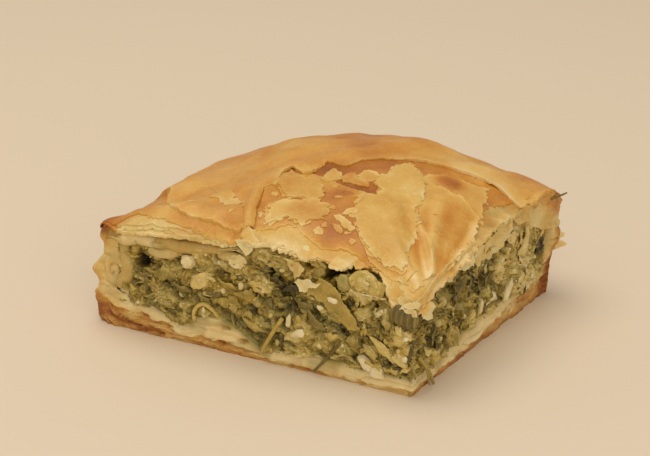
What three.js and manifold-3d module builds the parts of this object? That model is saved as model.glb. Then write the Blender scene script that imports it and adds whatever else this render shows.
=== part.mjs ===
// Spanakopita: the corner piece of a spinach and feta pie, cut from its tray.
// The left (-X) and back (+Y) sides baked against the tray and are closed by folded pastry.
// The front (-Y) and right (+X) sides are cuts, where the filling shows between base and lid.
// Millimetres, +Z up, with the origin in the middle of the flat underside.

import * as THREE from 'three';
import { mergeVertices } from 'three/addons/utils/BufferGeometryUtils.js';
import Module from 'manifold-3d';

// ---- Driving dimensions ----

const WIDTH = 90;             // tray side to right cut, along X
const DEPTH = 77;             // front cut to tray side, along Y, at the base
const BACK_LEAN = 5;          // how far the top of the back wall leans out
const TRAY_CORNER = 13;       // radius of the corner between the two tray sides
const SIDE_BULGE = 1.9;       // swell of the left wall at half height

// Height of the baked crust over the corners, and how far its edges and middle rise above them.
const CORNER = { left: 25, near: 23.5, right: 26.5, back: 27 };
const EDGE_RISE = { front: 8.5, back: 8.8, left: 1, right: 5 };
const EDGE_PEAK = { front: 0.4, back: 0.52, left: 0.5, right: 0.5 };
const DOME_RISE = 4.8;
const SHOULDER = 2.2;         // drop of the crust at the tray sides
const SHOULDER_WIDTH = 5;

const LID_THIN = 3.2;         // lid at the near corner
const LID_FRONT_FOLD = 5.4;   // extra thickness of the doughy fold at the front left
const LID_BACK_FOLD = 6;      // extra thickness of the folded sheets at the back right
const BASE_THIN = 5;
const BASE_FOLD = 3.8;        // extra thickness of the base towards the left wall
const WALL_FOOT = 6.5;        // wall thickness above the base
const WALL_FOLD = 3;          // extra thickness of the rolled edge above it

const WALL_TOP = 34;          // the walls are made this tall, then cut off under the lid

const ROLL_RADIUS = 3.6;      // the rolled edge, as its cut end shows it
const ROLL_EYE = 0.9;         // radius at which the spiral starts
const ROLL_STRETCH = 1.5;     // the spiral is this much taller than wide
const SEAM_WIDTH = 0.9;

const GAP = 0.35;             // clearance between pastry and filling
const TOLERANCE = 0.02;       // joins and cuts leave no edge shorter than this
const SHEET_STEP = 2.6;       // spacing of the points along a torn edge
const TEAR = 0.5;             // how far those points wander off it
const FAR = 8;                // how far cutting blocks reach past the pie
const DEEP = 20;              // how far they reach below it

const FRONT = -DEPTH / 2;
const BACK = DEPTH / 2;
const LEFT = -WIDTH / 2;
const RIGHT = WIDTH / 2;

// ---- Small helpers ----

const wasm = await Module();
wasm.setup();

function randomFrom(seed) {
  let state = seed;
  return () => {
    state = (state + 0x6d2b79f5) | 0;
    let mixed = Math.imul(state ^ (state >>> 15), 1 | state);
    mixed = (mixed + Math.imul(mixed ^ (mixed >>> 7), 61 | mixed)) ^ mixed;
    return ((mixed ^ (mixed >>> 14)) >>> 0) / 4294967296;
  };
}

const { lerp, clamp, smoothstep } = THREE.MathUtils;

function spread(random, reach) {
  return (random() * 2 - 1) * reach;
}

function toSolid(geometry) {
  geometry.deleteAttribute('normal');
  geometry.deleteAttribute('uv');
  const welded = mergeVertices(geometry, 1e-4);
  return new wasm.Manifold(new wasm.Mesh({
    numProp: 3,
    vertProperties: new Float32Array(welded.attributes.position.array),
    triVerts: new Uint32Array(welded.index.array),
    tolerance: TOLERANCE,
  }));
}

function moveVertices(geometry, move) {
  const position = geometry.attributes.position;
  const point = new THREE.Vector3();
  for (let i = 0; i < position.count; i += 1) {
    point.fromBufferAttribute(position, i);
    move(point);
    position.setXYZ(i, point.x, point.y, point.z);
  }
  return geometry;
}

function joined(solids) {
  return solids.reduce((whole, solid) => whole.add(solid));
}

function largestPiece(solid) {
  const pieces = solid.decompose();
  return pieces.reduce((best, piece) => (piece.volume() > best.volume() ? piece : best));
}

function makeMesh(name, solid, color, roughness) {
  const { vertProperties, triVerts } = solid.getMesh();
  const geometry = new THREE.BufferGeometry();
  geometry.setAttribute('position', new THREE.BufferAttribute(vertProperties, 3));
  geometry.setIndex(new THREE.BufferAttribute(triVerts, 1));
  geometry.computeVertexNormals();
  const mesh = new THREE.Mesh(
    geometry,
    new THREE.MeshStandardMaterial({ color, roughness, metalness: 0 }),
  );
  mesh.name = name;
  return mesh;
}

// ---- The form of the pie ----

// An edge that runs from one corner height to the next with a rise between them.
function edgeHeight(t, start, end, rise, peak) {
  const bent = Math.sign(t) * Math.abs(t) ** (Math.log(0.5) / Math.log(peak));
  return start + (end - start) * t + 4 * rise * bent * (1 - bent);
}

// The dome of the pie, spanned between its four edges and raised in the middle, most of all
// towards the right and the back.
function domeHeight(x, y) {
  const s = (x - LEFT) / WIDTH;
  const t = (y - FRONT) / (DEPTH + BACK_LEAN);
  const front = edgeHeight(s, CORNER.left, CORNER.near, EDGE_RISE.front, EDGE_PEAK.front);
  const back = edgeHeight(s, CORNER.back, CORNER.right, EDGE_RISE.back, EDGE_PEAK.back);
  const left = edgeHeight(t, CORNER.left, CORNER.back, EDGE_RISE.left, EDGE_PEAK.left);
  const right = edgeHeight(t, CORNER.near, CORNER.right, EDGE_RISE.right, EDGE_PEAK.right);
  const corners = lerp(
    lerp(CORNER.left, CORNER.near, s),
    lerp(CORNER.back, CORNER.right, s),
    t,
  );
  const inside = 16 * s * (1 - s) * t * (1 - t);
  const leaning = (0.75 + 0.5 * s) * (0.8 + 0.4 * t);
  return lerp(front, back, t) + lerp(left, right, s) - corners + DOME_RISE * inside * leaning;
}

// The baked top, which rounds down to the tray sides.
function crustHeight(x, y) {
  const toTray = Math.max(0, Math.min(x - LEFT, BACK + BACK_LEAN - y));
  return domeHeight(x, y) - SHOULDER * Math.max(0, 1 - toTray / SHOULDER_WIDTH) ** 2;
}

// Low blisters and creases that the sheets baked into.
function creases(x, y) {
  return 0.45 * Math.sin(x * 0.24 + y * 0.11 + 0.6) * Math.sin(y * 0.27 - x * 0.05)
    + 0.25 * Math.sin(x * 0.5 - y * 0.33 + 1.9);
}

// The right of the lid is pleated like a fan towards the near corner.
function pleats(x, y) {
  const angle = Math.atan2(y - FRONT, x - RIGHT - 4);
  const reach = Math.hypot(x - RIGHT, y - FRONT);
  const here = smoothstep(x, 18, 28) * smoothstep(reach, 3, 12) * (1 - smoothstep(reach, 34, 44));
  return 0.55 * here * Math.sin(angle * 19 + 0.8);
}

function lidUnderside(x, y) {
  const s = (x - LEFT) / WIDTH;
  const t = (y - FRONT) / (DEPTH + BACK_LEAN);
  const frontFold = LID_FRONT_FOLD * Math.exp(-(((s - 0.27) / 0.2) ** 2)) * (1 - 0.6 * t);
  const backFold = LID_BACK_FOLD * smoothstep(t, 0.3, 0.9) * (0.3 + 0.7 * s);
  return domeHeight(x, y) - LID_THIN - frontFold - backFold;
}

function baseTop(x, y) {
  const towardsLeft = 1 - smoothstep(x, -12, 8);
  const towardsBack = smoothstep(y, -30, 5) * 1.8;
  return BASE_THIN + BASE_FOLD * towardsLeft * (1 - 0.3 * smoothstep(y, -30, 0))
    + towardsBack * (1 - towardsLeft) + 0.25 * Math.sin(x * 0.3 + y * 0.2);
}

function wallThickness(z) {
  return WALL_FOOT + WALL_FOLD * smoothstep(z, 8, 15);
}

// Draws a point of a square plan in to the round corner between the tray sides.
function roundTrayCorner(point, back) {
  const centreX = LEFT + TRAY_CORNER;
  const centreY = back - TRAY_CORNER;
  const awayX = centreX - point.x;
  const awayY = point.y - centreY;
  if (awayX <= 0 || awayY <= 0) return;
  const scale = Math.max(awayX, awayY) / Math.hypot(awayX, awayY);
  point.x = centreX - awayX * scale;
  point.y = centreY + awayY * scale;
}

// A place on a cut face, with its outward direction along -Y or +X.
function onCut(face, along, z, out) {
  return face === 'front'
    ? new THREE.Vector3(along, FRONT - out, z)
    : new THREE.Vector3(RIGHT + out, along, z);
}

// ---- Solids that the pieces are cut from ----

// Everything below a surface, over the whole plan of the pie and a little more.
function below(height, columns, rows) {
  const block = new THREE.BoxGeometry(2, 2, 2, columns, rows, 1);
  moveVertices(block, (point) => {
    point.x *= WIDTH / 2 + FAR;
    point.y = lerp(FRONT - FAR, BACK + BACK_LEAN + FAR, (point.y + 1) / 2);
    point.z = point.z > 0 ? height(point.x, point.y) : -DEEP;
  });
  return toSolid(block);
}

// A straight-sided column over an outline.
function column(outline) {
  const shape = new THREE.Shape(outline);
  const geometry = new THREE.ExtrudeGeometry(shape, { depth: 80, bevelEnabled: false });
  geometry.translate(0, 0, -DEEP / 2);
  return toSolid(geometry);
}

// The space inside the case, as wide as the gap and the reach past the cuts leave it.
function room(gap, reach) {
  const block = new THREE.BoxGeometry(2, 2, 2, 14, 12, 4);
  moveVertices(block, (point) => {
    const level = (point.z + 1) / 2;
    const roughHeight = lerp(BASE_THIN, 24, level);
    const inner = wallThickness(roughHeight) + gap;
    const leanHere = BACK_LEAN * roughHeight / CORNER.back;
    point.x = lerp(LEFT + inner, RIGHT + reach, (point.x + 1) / 2);
    point.y = lerp(FRONT - reach, BACK + leanHere - inner, (point.y + 1) / 2);
    roundTrayCorner(point, BACK + leanHere - inner / 2);
    point.z = lerp(
      baseTop(point.x, point.y) + gap,
      lidUnderside(point.x, point.y) - gap,
      level,
    );
  });
  return toSolid(block);
}

// ---- Torn sheets of pastry ----

function outlineOf(corners) {
  return corners.map(([x, y]) => new THREE.Vector2(x, y));
}

// Breaks each straight of an outline into short steps that wander off it.
function torn(corners, roughness, seed) {
  const random = randomFrom(seed);
  const points = outlineOf(corners);
  const edge = [];
  points.forEach((start, index) => {
    const end = points[(index + 1) % points.length];
    const steps = Math.max(1, Math.round(start.distanceTo(end) / SHEET_STEP));
    for (let i = 0; i < steps; i += 1) {
      const point = start.clone().lerp(end, i / steps);
      point.x += spread(random, roughness);
      point.y += spread(random, roughness);
      edge.push(point);
    }
  });
  return edge;
}

// One sheet: the part of the crust's surface over a torn outline, at its own level.
function sheet(outline, level, shape = creases) {
  const surface = below((x, y) => crustHeight(x, y) + shape(x, y) + level, 31, 27);
  return surface.intersect(column(outline));
}

// Levels of the layers, from the nominal top of the crust.
const OPEN_LAYER = -1.5;      // the lowest layer that the torn crust shows
const UNDER_LAYER = -0.9;
const BROAD_LEVEL = -0.1;
const FLAKE_LEVEL = 0.1;
const SMALL_FLAKE_LEVEL = 0.7;

// The skin that stayed whole over the left and the back, up to the crack.
const SKIN = [
  [-48, -33], [-38, -34], [-32, -33], [-26.8, -33.4], [-20, -36.8], [-13.6, -38.6], [-3.3, -39],
  [-1.5, -37], [-5, -28], [-7, -21], [-5, -18], [-7, -10], [-6, -8], [0, -12], [0.7, -9.6],
  [1.3, -1.6], [7, -2], [8.4, 4], [14.3, 10], [20.6, 15], [30, 20], [38.5, 21], [45.4, 18],
  [45.6, 30], [45.2, 46], [-48, 46],
];

// The broad flake that lies over the front right, with its lobe to the left and the pleated fan.
const BROAD_FLAKE = [
  [17, -20.5], [17.6, -15], [19.4, -8], [16.2, 0], [17.7, 3], [15.5, 8], [19, 11.5], [23.5, 6],
  [29, 4.5], [35, 5.8], [41, 4], [43, -1.5], [45.7, -6.7], [46.6, -14], [46.8, -26],
  [45.2, -35], [44.6, -38.6], [41, -39.2], [37.8, -37], [35.4, -32], [34.2, -29.8],
  [28.7, -29.6], [24.3, -26],
];

// The layer under it, which roofs the filling at the front.
const ROOF = [
  [-3, -38.2], [2, -37], [8, -38.4], [14, -38.6], [20, -39.2], [27, -38.4], [34, -38.8], [40, -38],
  [38, -26], [24, -20], [12, -20], [2, -15], [-6, -20],
];

const HEART_FLAKE = [
  [-6, -14.4], [-5.3, -9.3], [1.2, -13.2], [4, -11.8], [8.7, -16.8], [9.2, -21.1], [2.5, -22.7],
  [-4, -18.6],
];

const STRIP_FLAKE = [
  [1.6, -32.4], [-1.2, -26.9], [0.6, -24.2], [8.8, -21.3], [14, -20.6], [13, -26], [10.9, -30.1],
  [5, -29.7], [2.8, -34.3],
];

const SMALL_FLAKE = [
  [-17.9, -27], [-18.6, -24.5], [-14.3, -23.7], [-7.5, -29], [-10.5, -30.5],
];

const RIGHT_LEDGE = [
  [38, -4], [43, 2], [41, 12], [42, 19], [45.8, 18], [46, 0], [46.2, -14], [43, -12],
];

// Sheets that step down towards the cuts, each reaching further out than the one above it.
const LEDGES = [
  { level: -0.7, edge: [[-45.4, -36.5], [-33, -36.2], [-25, -36.8], [-16, -39], [-10, -30], [-45, -28]] },
  { level: -1.3, edge: [[-45, -38], [-36, -38.2], [-28, -39], [-14, -39.2], [-10, -30], [-45, -28]] },
  { level: -3.2, edge: [[-43, -38.8], [-30, -39.6], [-18, -39.3], [-12, -34], [-42, -34]] },
  { level: -5.4, edge: [[-34, -39.2], [-24, -40], [-10, -39.6], [-2, -38.8], [-10, -34], [-30, -34]] },
  { level: -2.4, edge: [[42, -16], [46, -14], [46.6, 2], [46, 18], [45.8, 34], [42, 34]] },
];

// A finger of pastry, folded over on itself, that runs to the front edge.
function foldedFinger() {
  const start = new THREE.Vector3(-8, -21, 0);
  const end = new THREE.Vector3(-1, -36, 0);
  const finger = new THREE.CapsuleGeometry(2, start.distanceTo(end), 3, 8);
  const middle = start.clone().lerp(end, 0.5);
  const angle = Math.atan2(end.y - start.y, end.x - start.x) - Math.PI / 2;
  finger.scale(1, 1, 0.75);
  finger.rotateZ(angle);
  moveVertices(finger, (point) => {
    point.add(middle);
    point.z += crustHeight(point.x, point.y) - 0.2;
  });
  return toSolid(finger);
}

// The plan of the lid: straight where the pie was cut, and round at the tray's corner.
function lidPlan(past) {
  const back = BACK + BACK_LEAN;
  const left = LEFT - 0.4;
  const corners = [[left, FRONT], [RIGHT, FRONT], [RIGHT, back], [left, back]];
  const plan = torn(corners, 0.12, 11);
  plan.forEach((point) => {
    roundTrayCorner(point, back);
    if (point.y < FRONT + 1) point.y -= past;
    if (point.x > RIGHT - 1) point.x += past;
  });
  return plan;
}

function pastryLid() {
  const flat = () => 0;
  const stack = (x, y) => creases(x, y) + pleats(x, y);
  const lowest = (x, y) => crustHeight(x, y) + OPEN_LAYER;
  const open = below(lowest, 28, 24).intersect(column(lidPlan(0)));
  const sheets = [
    sheet(torn(SKIN, TEAR, 3), 0),
    sheet(torn(BROAD_FLAKE, TEAR, 5), BROAD_LEVEL, stack),
    sheet(torn(ROOF, TEAR, 7), UNDER_LAYER, flat),
    sheet(torn(HEART_FLAKE, TEAR, 8), FLAKE_LEVEL, flat),
    sheet(torn(STRIP_FLAKE, TEAR, 9), FLAKE_LEVEL, flat),
    sheet(torn(SMALL_FLAKE, 0.8 * TEAR, 10), SMALL_FLAKE_LEVEL),
    sheet(torn(RIGHT_LEDGE, 0.8 * TEAR, 12), UNDER_LAYER, flat),
    ...LEDGES.map(({ level, edge }, i) => sheet(torn(edge, TEAR, 20 + i), level)),
  ];
  const raised = joined([open, ...sheets, foldedFinger()]).intersect(column(lidPlan(FAR)));
  return largestPiece(raised.subtract(below(lidUnderside, 20, 18)));
}

// ---- The case: base and two tray-side walls ----

// Sheets folded up against the tray leave ridges along its sides.
function ridges(along, z) {
  return 0.5 * Math.sin(z * 0.85 + 0.9 * Math.sin(along * 0.11))
    + 0.45 * Math.sin(along * 0.31 + z * 0.2);
}

// The rolled edge of the lowest sheets shows as a spiral where a wall is cut.
function rollSeam(face, centre, turns) {
  const steps = 22;
  const points = [];
  for (let i = 0; i <= steps; i += 1) {
    const angle = Math.PI * 2 * turns * i / steps;
    const radius = lerp(ROLL_EYE, ROLL_RADIUS, i / steps);
    const along = centre[0] + radius * Math.cos(angle);
    const z = centre[1] + ROLL_STRETCH * radius * Math.sin(angle);
    points.push(onCut(face, along, z, 0));
  }
  const half = SEAM_WIDTH / 2;
  const section = outlineOf([[-half, -half], [half, -half], [half, half], [-half, half]]);
  const extrudePath = new THREE.CatmullRomCurve3(points);
  return toSolid(new THREE.ExtrudeGeometry(new THREE.Shape(section), { steps, extrudePath }));
}

// A torn strip of sheet that stands off the back wall at its cut end.
function looseStrip(length, width, height, lift) {
  const strip = new THREE.BoxGeometry(length, width, 1.1, 3, 1, 1);
  moveVertices(strip, (point) => {
    const out = point.x / length + 0.5;
    point.y *= 1 - 0.6 * out;
    point.z *= 1 - 0.5 * out;
    point.z += lift * out * out;
  });
  strip.rotateZ(0.5);
  strip.translate(RIGHT - 0.5, BACK + 1.5, height);
  return toSolid(strip);
}

function pastryCase() {
  const block = new THREE.BoxGeometry(2, 2, 2, 17, 15, 10);
  moveVertices(block, (point) => {
    const z = lerp(0, WALL_TOP, (point.z + 1) / 2);
    const swell = SIDE_BULGE * Math.sin(Math.PI * clamp(z / CORNER.left, 0, 1));
    const lean = BACK_LEAN * Math.min(z / CORNER.back, 1);
    const s = (point.x + 1) / 2;
    const t = (point.y + 1) / 2;
    const leftOut = s === 0 ? swell + ridges(t * DEPTH, z) * smoothstep(z, 0, 4) : 0;
    const backOut = t === 1 ? lean + ridges(s * WIDTH, z) * smoothstep(z, 0, 4) : lean * t;
    point.set(LEFT + WIDTH * s - leftOut, FRONT + DEPTH * t + backOut, z);
    roundTrayCorner(point, BACK + lean);
  });
  const underLid = below((x, y) => lidUnderside(x, y) - GAP, 20, 18);
  const strips = [looseStrip(9, 5, 15.5, -1.2), looseStrip(10, 4, 11.5, -0.4)];
  const outside = joined([toSolid(block), ...strips]).intersect(underLid);
  const seams = [rollSeam('front', [-40.6, 14.5], 1.6), rollSeam('right', [34.6, 12.5], -1.4)];
  return largestPiece(outside.subtract(joined([room(0, FAR), ...seams])));
}

// ---- The filling: a rough block with leaves, cheese and leek fused to its cut faces ----

const CUT_INSET = 0.9;        // the bare block stands this far behind the cuts
const CUT_PROUD = 1.1;        // what is fused on may stand this far in front of them
const BARE_INSET = 0.25;      // the bare block is this much lower and narrower than its scraps

function turnToCut(geometry, face) {
  if (face === 'right') geometry.rotateZ(Math.PI / 2);
  return geometry;
}

// A crumpled scrap of spinach, on edge in the face.
function leafScrap(random, face, place) {
  const length = lerp(4, 10, random());
  const leaf = new THREE.BoxGeometry(length, 3, lerp(1, 2.2, random()), 2, 1, 1);
  const bend = spread(random, 0.22);
  const wave = spread(random, 0.9);
  moveVertices(leaf, (point) => {
    point.z += bend * point.x * point.x * 0.4 + wave * Math.sin(point.x * 0.9);
  });
  leaf.rotateY(spread(random, 1.1));
  leaf.rotateX(spread(random, 0.5));
  turnToCut(leaf, face);
  leaf.translate(place.x, place.y, place.z);
  return toSolid(leaf);
}

// A lump with uneven sides: a curd of cheese or a piece of leek.
function lump(random, place, size, detail) {
  const stone = new THREE.IcosahedronGeometry(1, detail);
  stone.deleteAttribute('normal');
  stone.deleteAttribute('uv');
  const welded = mergeVertices(stone, 1e-4);
  moveVertices(welded, (point) => point.multiplyScalar(1 + spread(random, 0.16)));
  welded.scale(size.x / 2, size.y / 2, size.z / 2);
  welded.rotateY(spread(random, 1.5));
  welded.translate(place.x, place.y, place.z);
  return toSolid(welded);
}

function straightStem(start, end, radius) {
  const rod = new THREE.CylinderGeometry(radius, radius * 0.8, start.distanceTo(end), 6);
  const direction = end.clone().sub(start).normalize();
  const turn = new THREE.Quaternion().setFromUnitVectors(new THREE.Vector3(0, 1, 0), direction);
  rod.applyQuaternion(turn);
  const middle = start.clone().lerp(end, 0.5);
  rod.translate(middle.x, middle.y, middle.z);
  return toSolid(rod);
}

// A stem along a few points of a cut face, each given as place along, height and distance out.
function stem(face, radius, points) {
  const places = points.map(([along, z, out]) => onCut(face, along, z, out));
  return joined(places.slice(1).map((end, i) => straightStem(places[i], end, radius)));
}

// Scraps spread evenly over one cut face, each drawn a little off its place.
function scrapsOver(face, from, to, columns, rows, seed) {
  const random = randomFrom(seed);
  const scraps = [];
  for (let row = 0; row < rows; row += 1) {
    for (let i = 0; i < columns; i += 1) {
      const along = lerp(from, to, (i + 0.5 + spread(random, 0.4)) / columns);
      const [x, y] = face === 'front' ? [along, FRONT] : [RIGHT, along];
      const share = (row + 0.5 + spread(random, 0.35)) / rows;
      const z = lerp(baseTop(x, y) + 0.5, lidUnderside(x, y) - 0.5, share);
      const place = onCut(face, along, z, spread(random, 0.4) - 0.7);
      const kind = random();
      if (kind < 0.7) {
        scraps.push(leafScrap(random, face, place));
      } else {
        const size = lerp(1.8, 3.4, random());
        scraps.push(lump(random, place, new THREE.Vector3(size, size * 0.8, size * 0.8), 0));
      }
    }
  }
  return scraps;
}

// The large bits that stand out on the cuts.
function largeBits() {
  const random = randomFrom(77);
  const bits = [
    { face: 'front', at: [-17.2, 22.2], size: [3.8, 3.8, 3.8] },
    { face: 'front', at: [-13.8, 18.4], size: [5.4, 4, 4.6] },
    { face: 'front', at: [4.2, 21.2], size: [6.5, 4.2, 6.5] },
    { face: 'front', at: [14.7, 10.4], size: [2.8, 2.6, 2.2] },
    { face: 'front', at: [31.8, 6.8], size: [4.6, 3, 3] },
    { face: 'front', at: [27, 20], size: [11, 4.4, 8] },
    { face: 'front', at: [41.5, 15], size: [5, 4, 6] },
    { face: 'right', at: [-20, 13], size: [4, 4, 5] },
    { face: 'right', at: [2, 14], size: [4, 5, 4] },
    { face: 'right', at: [22, 18], size: [3.2, 2.4, 8] },
  ];
  return bits.map(({ face, at, size }) => {
    const place = onCut(face, at[0], at[1], -0.8);
    return lump(random, place, new THREE.Vector3(...size), 1);
  });
}

// Dill and leek stems; the last two hang down over the edge of the base.
function stems() {
  return [
    stem('front', 0.6, [[9.7, 11.5, -0.2], [5.6, 7.5, 0]]),
    stem('front', 0.7, [[38, 20, -0.1], [44, 12, 0]]),
    stem('right', 0.7, [[-8, 10, 0], [8, 15, -0.2]]),
    stem('front', 0.5, [[25.4, 10, -1.2], [23.2, 7, 0.95], [19.6, 1.6, 0.95]]),
    stem('right', 0.6, [[-36, 13, -1.2], [-35, 8, 1.1], [-32.4, 1.2, 1.1]]),
  ];
}

function filling() {
  const block = room(GAP + BARE_INSET, -CUT_INSET);
  const reach = room(GAP, CUT_PROUD);
  const scraps = [
    ...scrapsOver('front', LEFT + 11, RIGHT - 1, 12, 4, 31),
    ...scrapsOver('right', FRONT + 2, BACK - 7, 9, 3, 41),
    ...largeBits(),
  ];
  const shown = joined(scraps).intersect(reach);
  return largestPiece(joined([block, shown, ...stems()]));
}

// ---- The pie ----

const pie = new THREE.Group();
pie.name = 'spanakopita';
pie.add(makeMesh('pastry_case', pastryCase(), 0xc79d5c, 0.7));
pie.add(makeMesh('filling', filling(), 0x75642f, 0.45));
pie.add(makeMesh('pastry_lid', pastryLid(), 0xcf9650, 0.5));

export default pie;
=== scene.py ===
"""A corner piece of spanakopita: a case of folded phyllo, a spinach and feta filling on two cut
faces, and a domed lid of thin, torn, golden sheets. Shapes are worked out in millimetres, and
make_piece turns them to the frame's metres.
"""

import math

import bpy
import numpy as np
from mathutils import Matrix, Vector
from mathutils.geometry import delaunay_2d_cdt


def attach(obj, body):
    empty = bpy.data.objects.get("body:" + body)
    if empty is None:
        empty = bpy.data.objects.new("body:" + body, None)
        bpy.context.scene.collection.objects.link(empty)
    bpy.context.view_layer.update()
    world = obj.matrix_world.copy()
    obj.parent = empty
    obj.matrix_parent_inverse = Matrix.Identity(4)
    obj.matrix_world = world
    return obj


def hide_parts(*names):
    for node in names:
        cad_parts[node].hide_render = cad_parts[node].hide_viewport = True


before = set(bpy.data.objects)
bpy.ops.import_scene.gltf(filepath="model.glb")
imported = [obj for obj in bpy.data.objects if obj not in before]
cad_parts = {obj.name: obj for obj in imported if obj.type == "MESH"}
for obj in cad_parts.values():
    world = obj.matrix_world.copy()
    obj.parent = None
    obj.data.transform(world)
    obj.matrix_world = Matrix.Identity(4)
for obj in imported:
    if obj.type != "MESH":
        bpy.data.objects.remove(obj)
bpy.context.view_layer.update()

# ---- Driving dimensions, in millimetres, as the solids have them ----

WIDTH, DEPTH = 90.0, 77.0
BACK_LEAN = 5.0
TRAY_CORNER = 13.0
FRONT_ROUND = 3.0
SIDE_BULGE = 1.9
CORNER = {"left": 25.0, "near": 23.5, "right": 26.5, "back": 27.0}
EDGE_RISE = {"front": 8.5, "back": 8.8, "left": 1.0, "right": 5.0}
EDGE_PEAK = {"front": 0.4, "back": 0.52, "left": 0.5, "right": 0.5}
DOME_RISE = 4.8
SHOULDER, SHOULDER_WIDTH = 2.2, 5.0
LID_THIN, LID_FRONT_FOLD, LID_BACK_FOLD = 3.2, 5.4, 6.0
FRONT_FOLD_AT, FRONT_FOLD_REACH = 0.27, 0.2  # as shares of the width
BASE_THIN, BASE_FOLD = 5.0, 3.8
WALL_FOOT, WALL_FOLD = 6.5, 3.0
BACK_WALL = 4.0
TURN_OF_LAYERS = 8.0  # how far from the tray the case's layers turn from wall to base
FAR_BULGE = 2.4  # how far the lid and the back wall stand out at the far end of the right cut
TORN_DEPTH = 5.2  # how far the lid's body is torn back from the front cut
CREST_RISE, TROUGH_DEPTH = 2.1, 4.4  # the filling's, where the lid is torn away
FRONT, BACK = -DEPTH / 2, DEPTH / 2
LEFT, RIGHT = -WIDTH / 2, WIDTH / 2

# How finely each solid is meshed: the steps along its cuts and its tray sides, its rows up, and
# the spacing of its caps.
MESH = {
    "lid": (0.25, 0.6, 44, 4.0), "base": (0.3, 0.6, 30, 4.0),
    "walls": (0.6, 0.5, 60, 3.0), "filling": (0.25, 1.5, 116, 1.9),
}
LID_INSET = 0.3
OVER_BODY = 2.1  # what the sheets over the lid's body take up
END_STEP = 0.25  # along the cut ends of the walls

# ---- Numbers ----


def rising(x, low, high):
    """A soft step from 0 at low to 1 at high."""
    t = np.clip((x - low) / (high - low), 0, 1)
    return t * t * (3 - 2 * t)


def falling(x, low, high):
    return 1 - rising(x, low, high)


def lerp(a, b, t):
    return a + (b - a) * t


def hashed(cell, seed):
    """A number from -1 to 1 for each whole-number cell."""
    i, j, k = axes(cell)
    mixed = i * 73856093 ^ j * 19349663 ^ k * 83492791 ^ seed * 2654435
    mixed = (mixed ^ (mixed >> 13)) * 1274126177 & 0x7FFFFFFF
    mixed = (mixed ^ (mixed >> 15)) * 668265263 & 0x7FFFFFFF
    return ((mixed >> 7) & 0xFFFF) / 32767.5 - 1


def noise(points, size, seed=0):
    """Smooth noise from -1 to 1, with features about size millimetres across."""
    spot = np.asarray(points, float) / size + 37.7 + seed * 5.31
    cell = np.floor(spot).astype(np.int64)
    part = spot - cell
    part = part**3 * (part * (part * 6 - 15) + 10)
    total = 0
    for corner in np.ndindex(2, 2, 2):
        weight = np.prod(np.where(np.array(corner) == 1, part, 1 - part), axis=-1)
        total = total + weight * hashed(cell + np.array(corner), seed)
    return total


def rough(points, size, octaves, seed=0):
    """Noise with finer noise on it, each octave half as large and half as strong."""
    return sum(noise(points, size / 2**i, seed + 17 * i) / 2**i for i in range(octaves))


def flat(x, y):
    """Points of the table plane, for noise over a plan."""
    return np.stack([x, y, np.zeros_like(x)], -1)


def axes(points):
    """The x, y and z of points, or the u, v and w."""
    return points[..., 0], points[..., 1], points[..., 2]


def drawn_out(points, along):
    """Points squeezed along the table, so that noise over them is drawn out in flat streaks."""
    return points * np.array([along, along, 1.0])


def swelling(x, y, middle, reach):
    """A bell of height 1 at a place, which falls away over its reach along x and along y."""
    return np.exp(-(((x - middle[0]) / reach[0]) ** 2 + ((y - middle[1]) / reach[1]) ** 2))


def along_line(x, line):
    """The height of a drawn line, a list of (x, height), at x."""
    return np.interp(x, *np.array(line).T)


# ---- The form of the pie ----


def edge_height(t, start, end, rise, peak):
    """The height along one edge of the top, which rises over the line between its corners."""
    bent = np.sign(t) * np.abs(t) ** (math.log(0.5) / math.log(peak))
    return start + (end - start) * t + 4 * rise * bent * (1 - bent)


def shares(x, y):
    """How far a spot of the top lies from left to right and from front to back, from 0 to 1."""
    return (x - LEFT) / WIDTH, (y - FRONT) / (DEPTH + BACK_LEAN)


def dome(x, y):
    """The smooth top of the pie, raised between its four edges."""
    s, t = shares(x, y)
    front = edge_height(s, CORNER["left"], CORNER["near"], EDGE_RISE["front"], EDGE_PEAK["front"])
    back = edge_height(s, CORNER["back"], CORNER["right"], EDGE_RISE["back"], EDGE_PEAK["back"])
    left = edge_height(t, CORNER["left"], CORNER["back"], EDGE_RISE["left"], EDGE_PEAK["left"])
    right = edge_height(t, CORNER["near"], CORNER["right"], EDGE_RISE["right"], EDGE_PEAK["right"])
    corners = lerp(
        lerp(CORNER["left"], CORNER["near"], s), lerp(CORNER["back"], CORNER["right"], s), t
    )
    inside = 16 * s * (1 - s) * t * (1 - t)
    leaning = (0.75 + 0.5 * s) * (0.8 + 0.4 * t)
    return lerp(front, back, t) + lerp(left, right, s) - corners + DOME_RISE * inside * leaning


def crust(x, y):
    """The nominal baked top, which rounds down to the tray sides."""
    to_tray = np.maximum(0, np.minimum(x - LEFT, BACK + BACK_LEAN - y))
    return dome(x, y) - SHOULDER * np.maximum(0, 1 - to_tray / SHOULDER_WIDTH) ** 2


def lid_underside(x, y):
    """Where the lid ends and the filling starts: deeper under the front fold and to the back."""
    s, t = shares(x, y)
    from_fold = (s - FRONT_FOLD_AT) / FRONT_FOLD_REACH
    front_fold = LID_FRONT_FOLD * np.exp(-(from_fold**2)) * (1 - 0.6 * t)
    back_fold = LID_BACK_FOLD * rising(t, 0.3, 0.9) * (0.3 + 0.7 * s)
    return dome(x, y) - LID_THIN - front_fold - back_fold


def base_top(x, y):
    """The top of the base, thicker where its sheets fold over at the left and at the back."""
    towards_left = falling(x, -12, 8)
    towards_back = rising(y, -30, 5) * 1.8
    return (
        BASE_THIN
        + BASE_FOLD * towards_left * (1 - 0.3 * rising(y, -30, 0))
        + towards_back * (1 - towards_left)
        + 0.25 * np.sin(x * 0.3 + y * 0.2)
    )


def wall_thickness(z):
    return WALL_FOOT + WALL_FOLD * rising(z, 8, 15)


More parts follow.
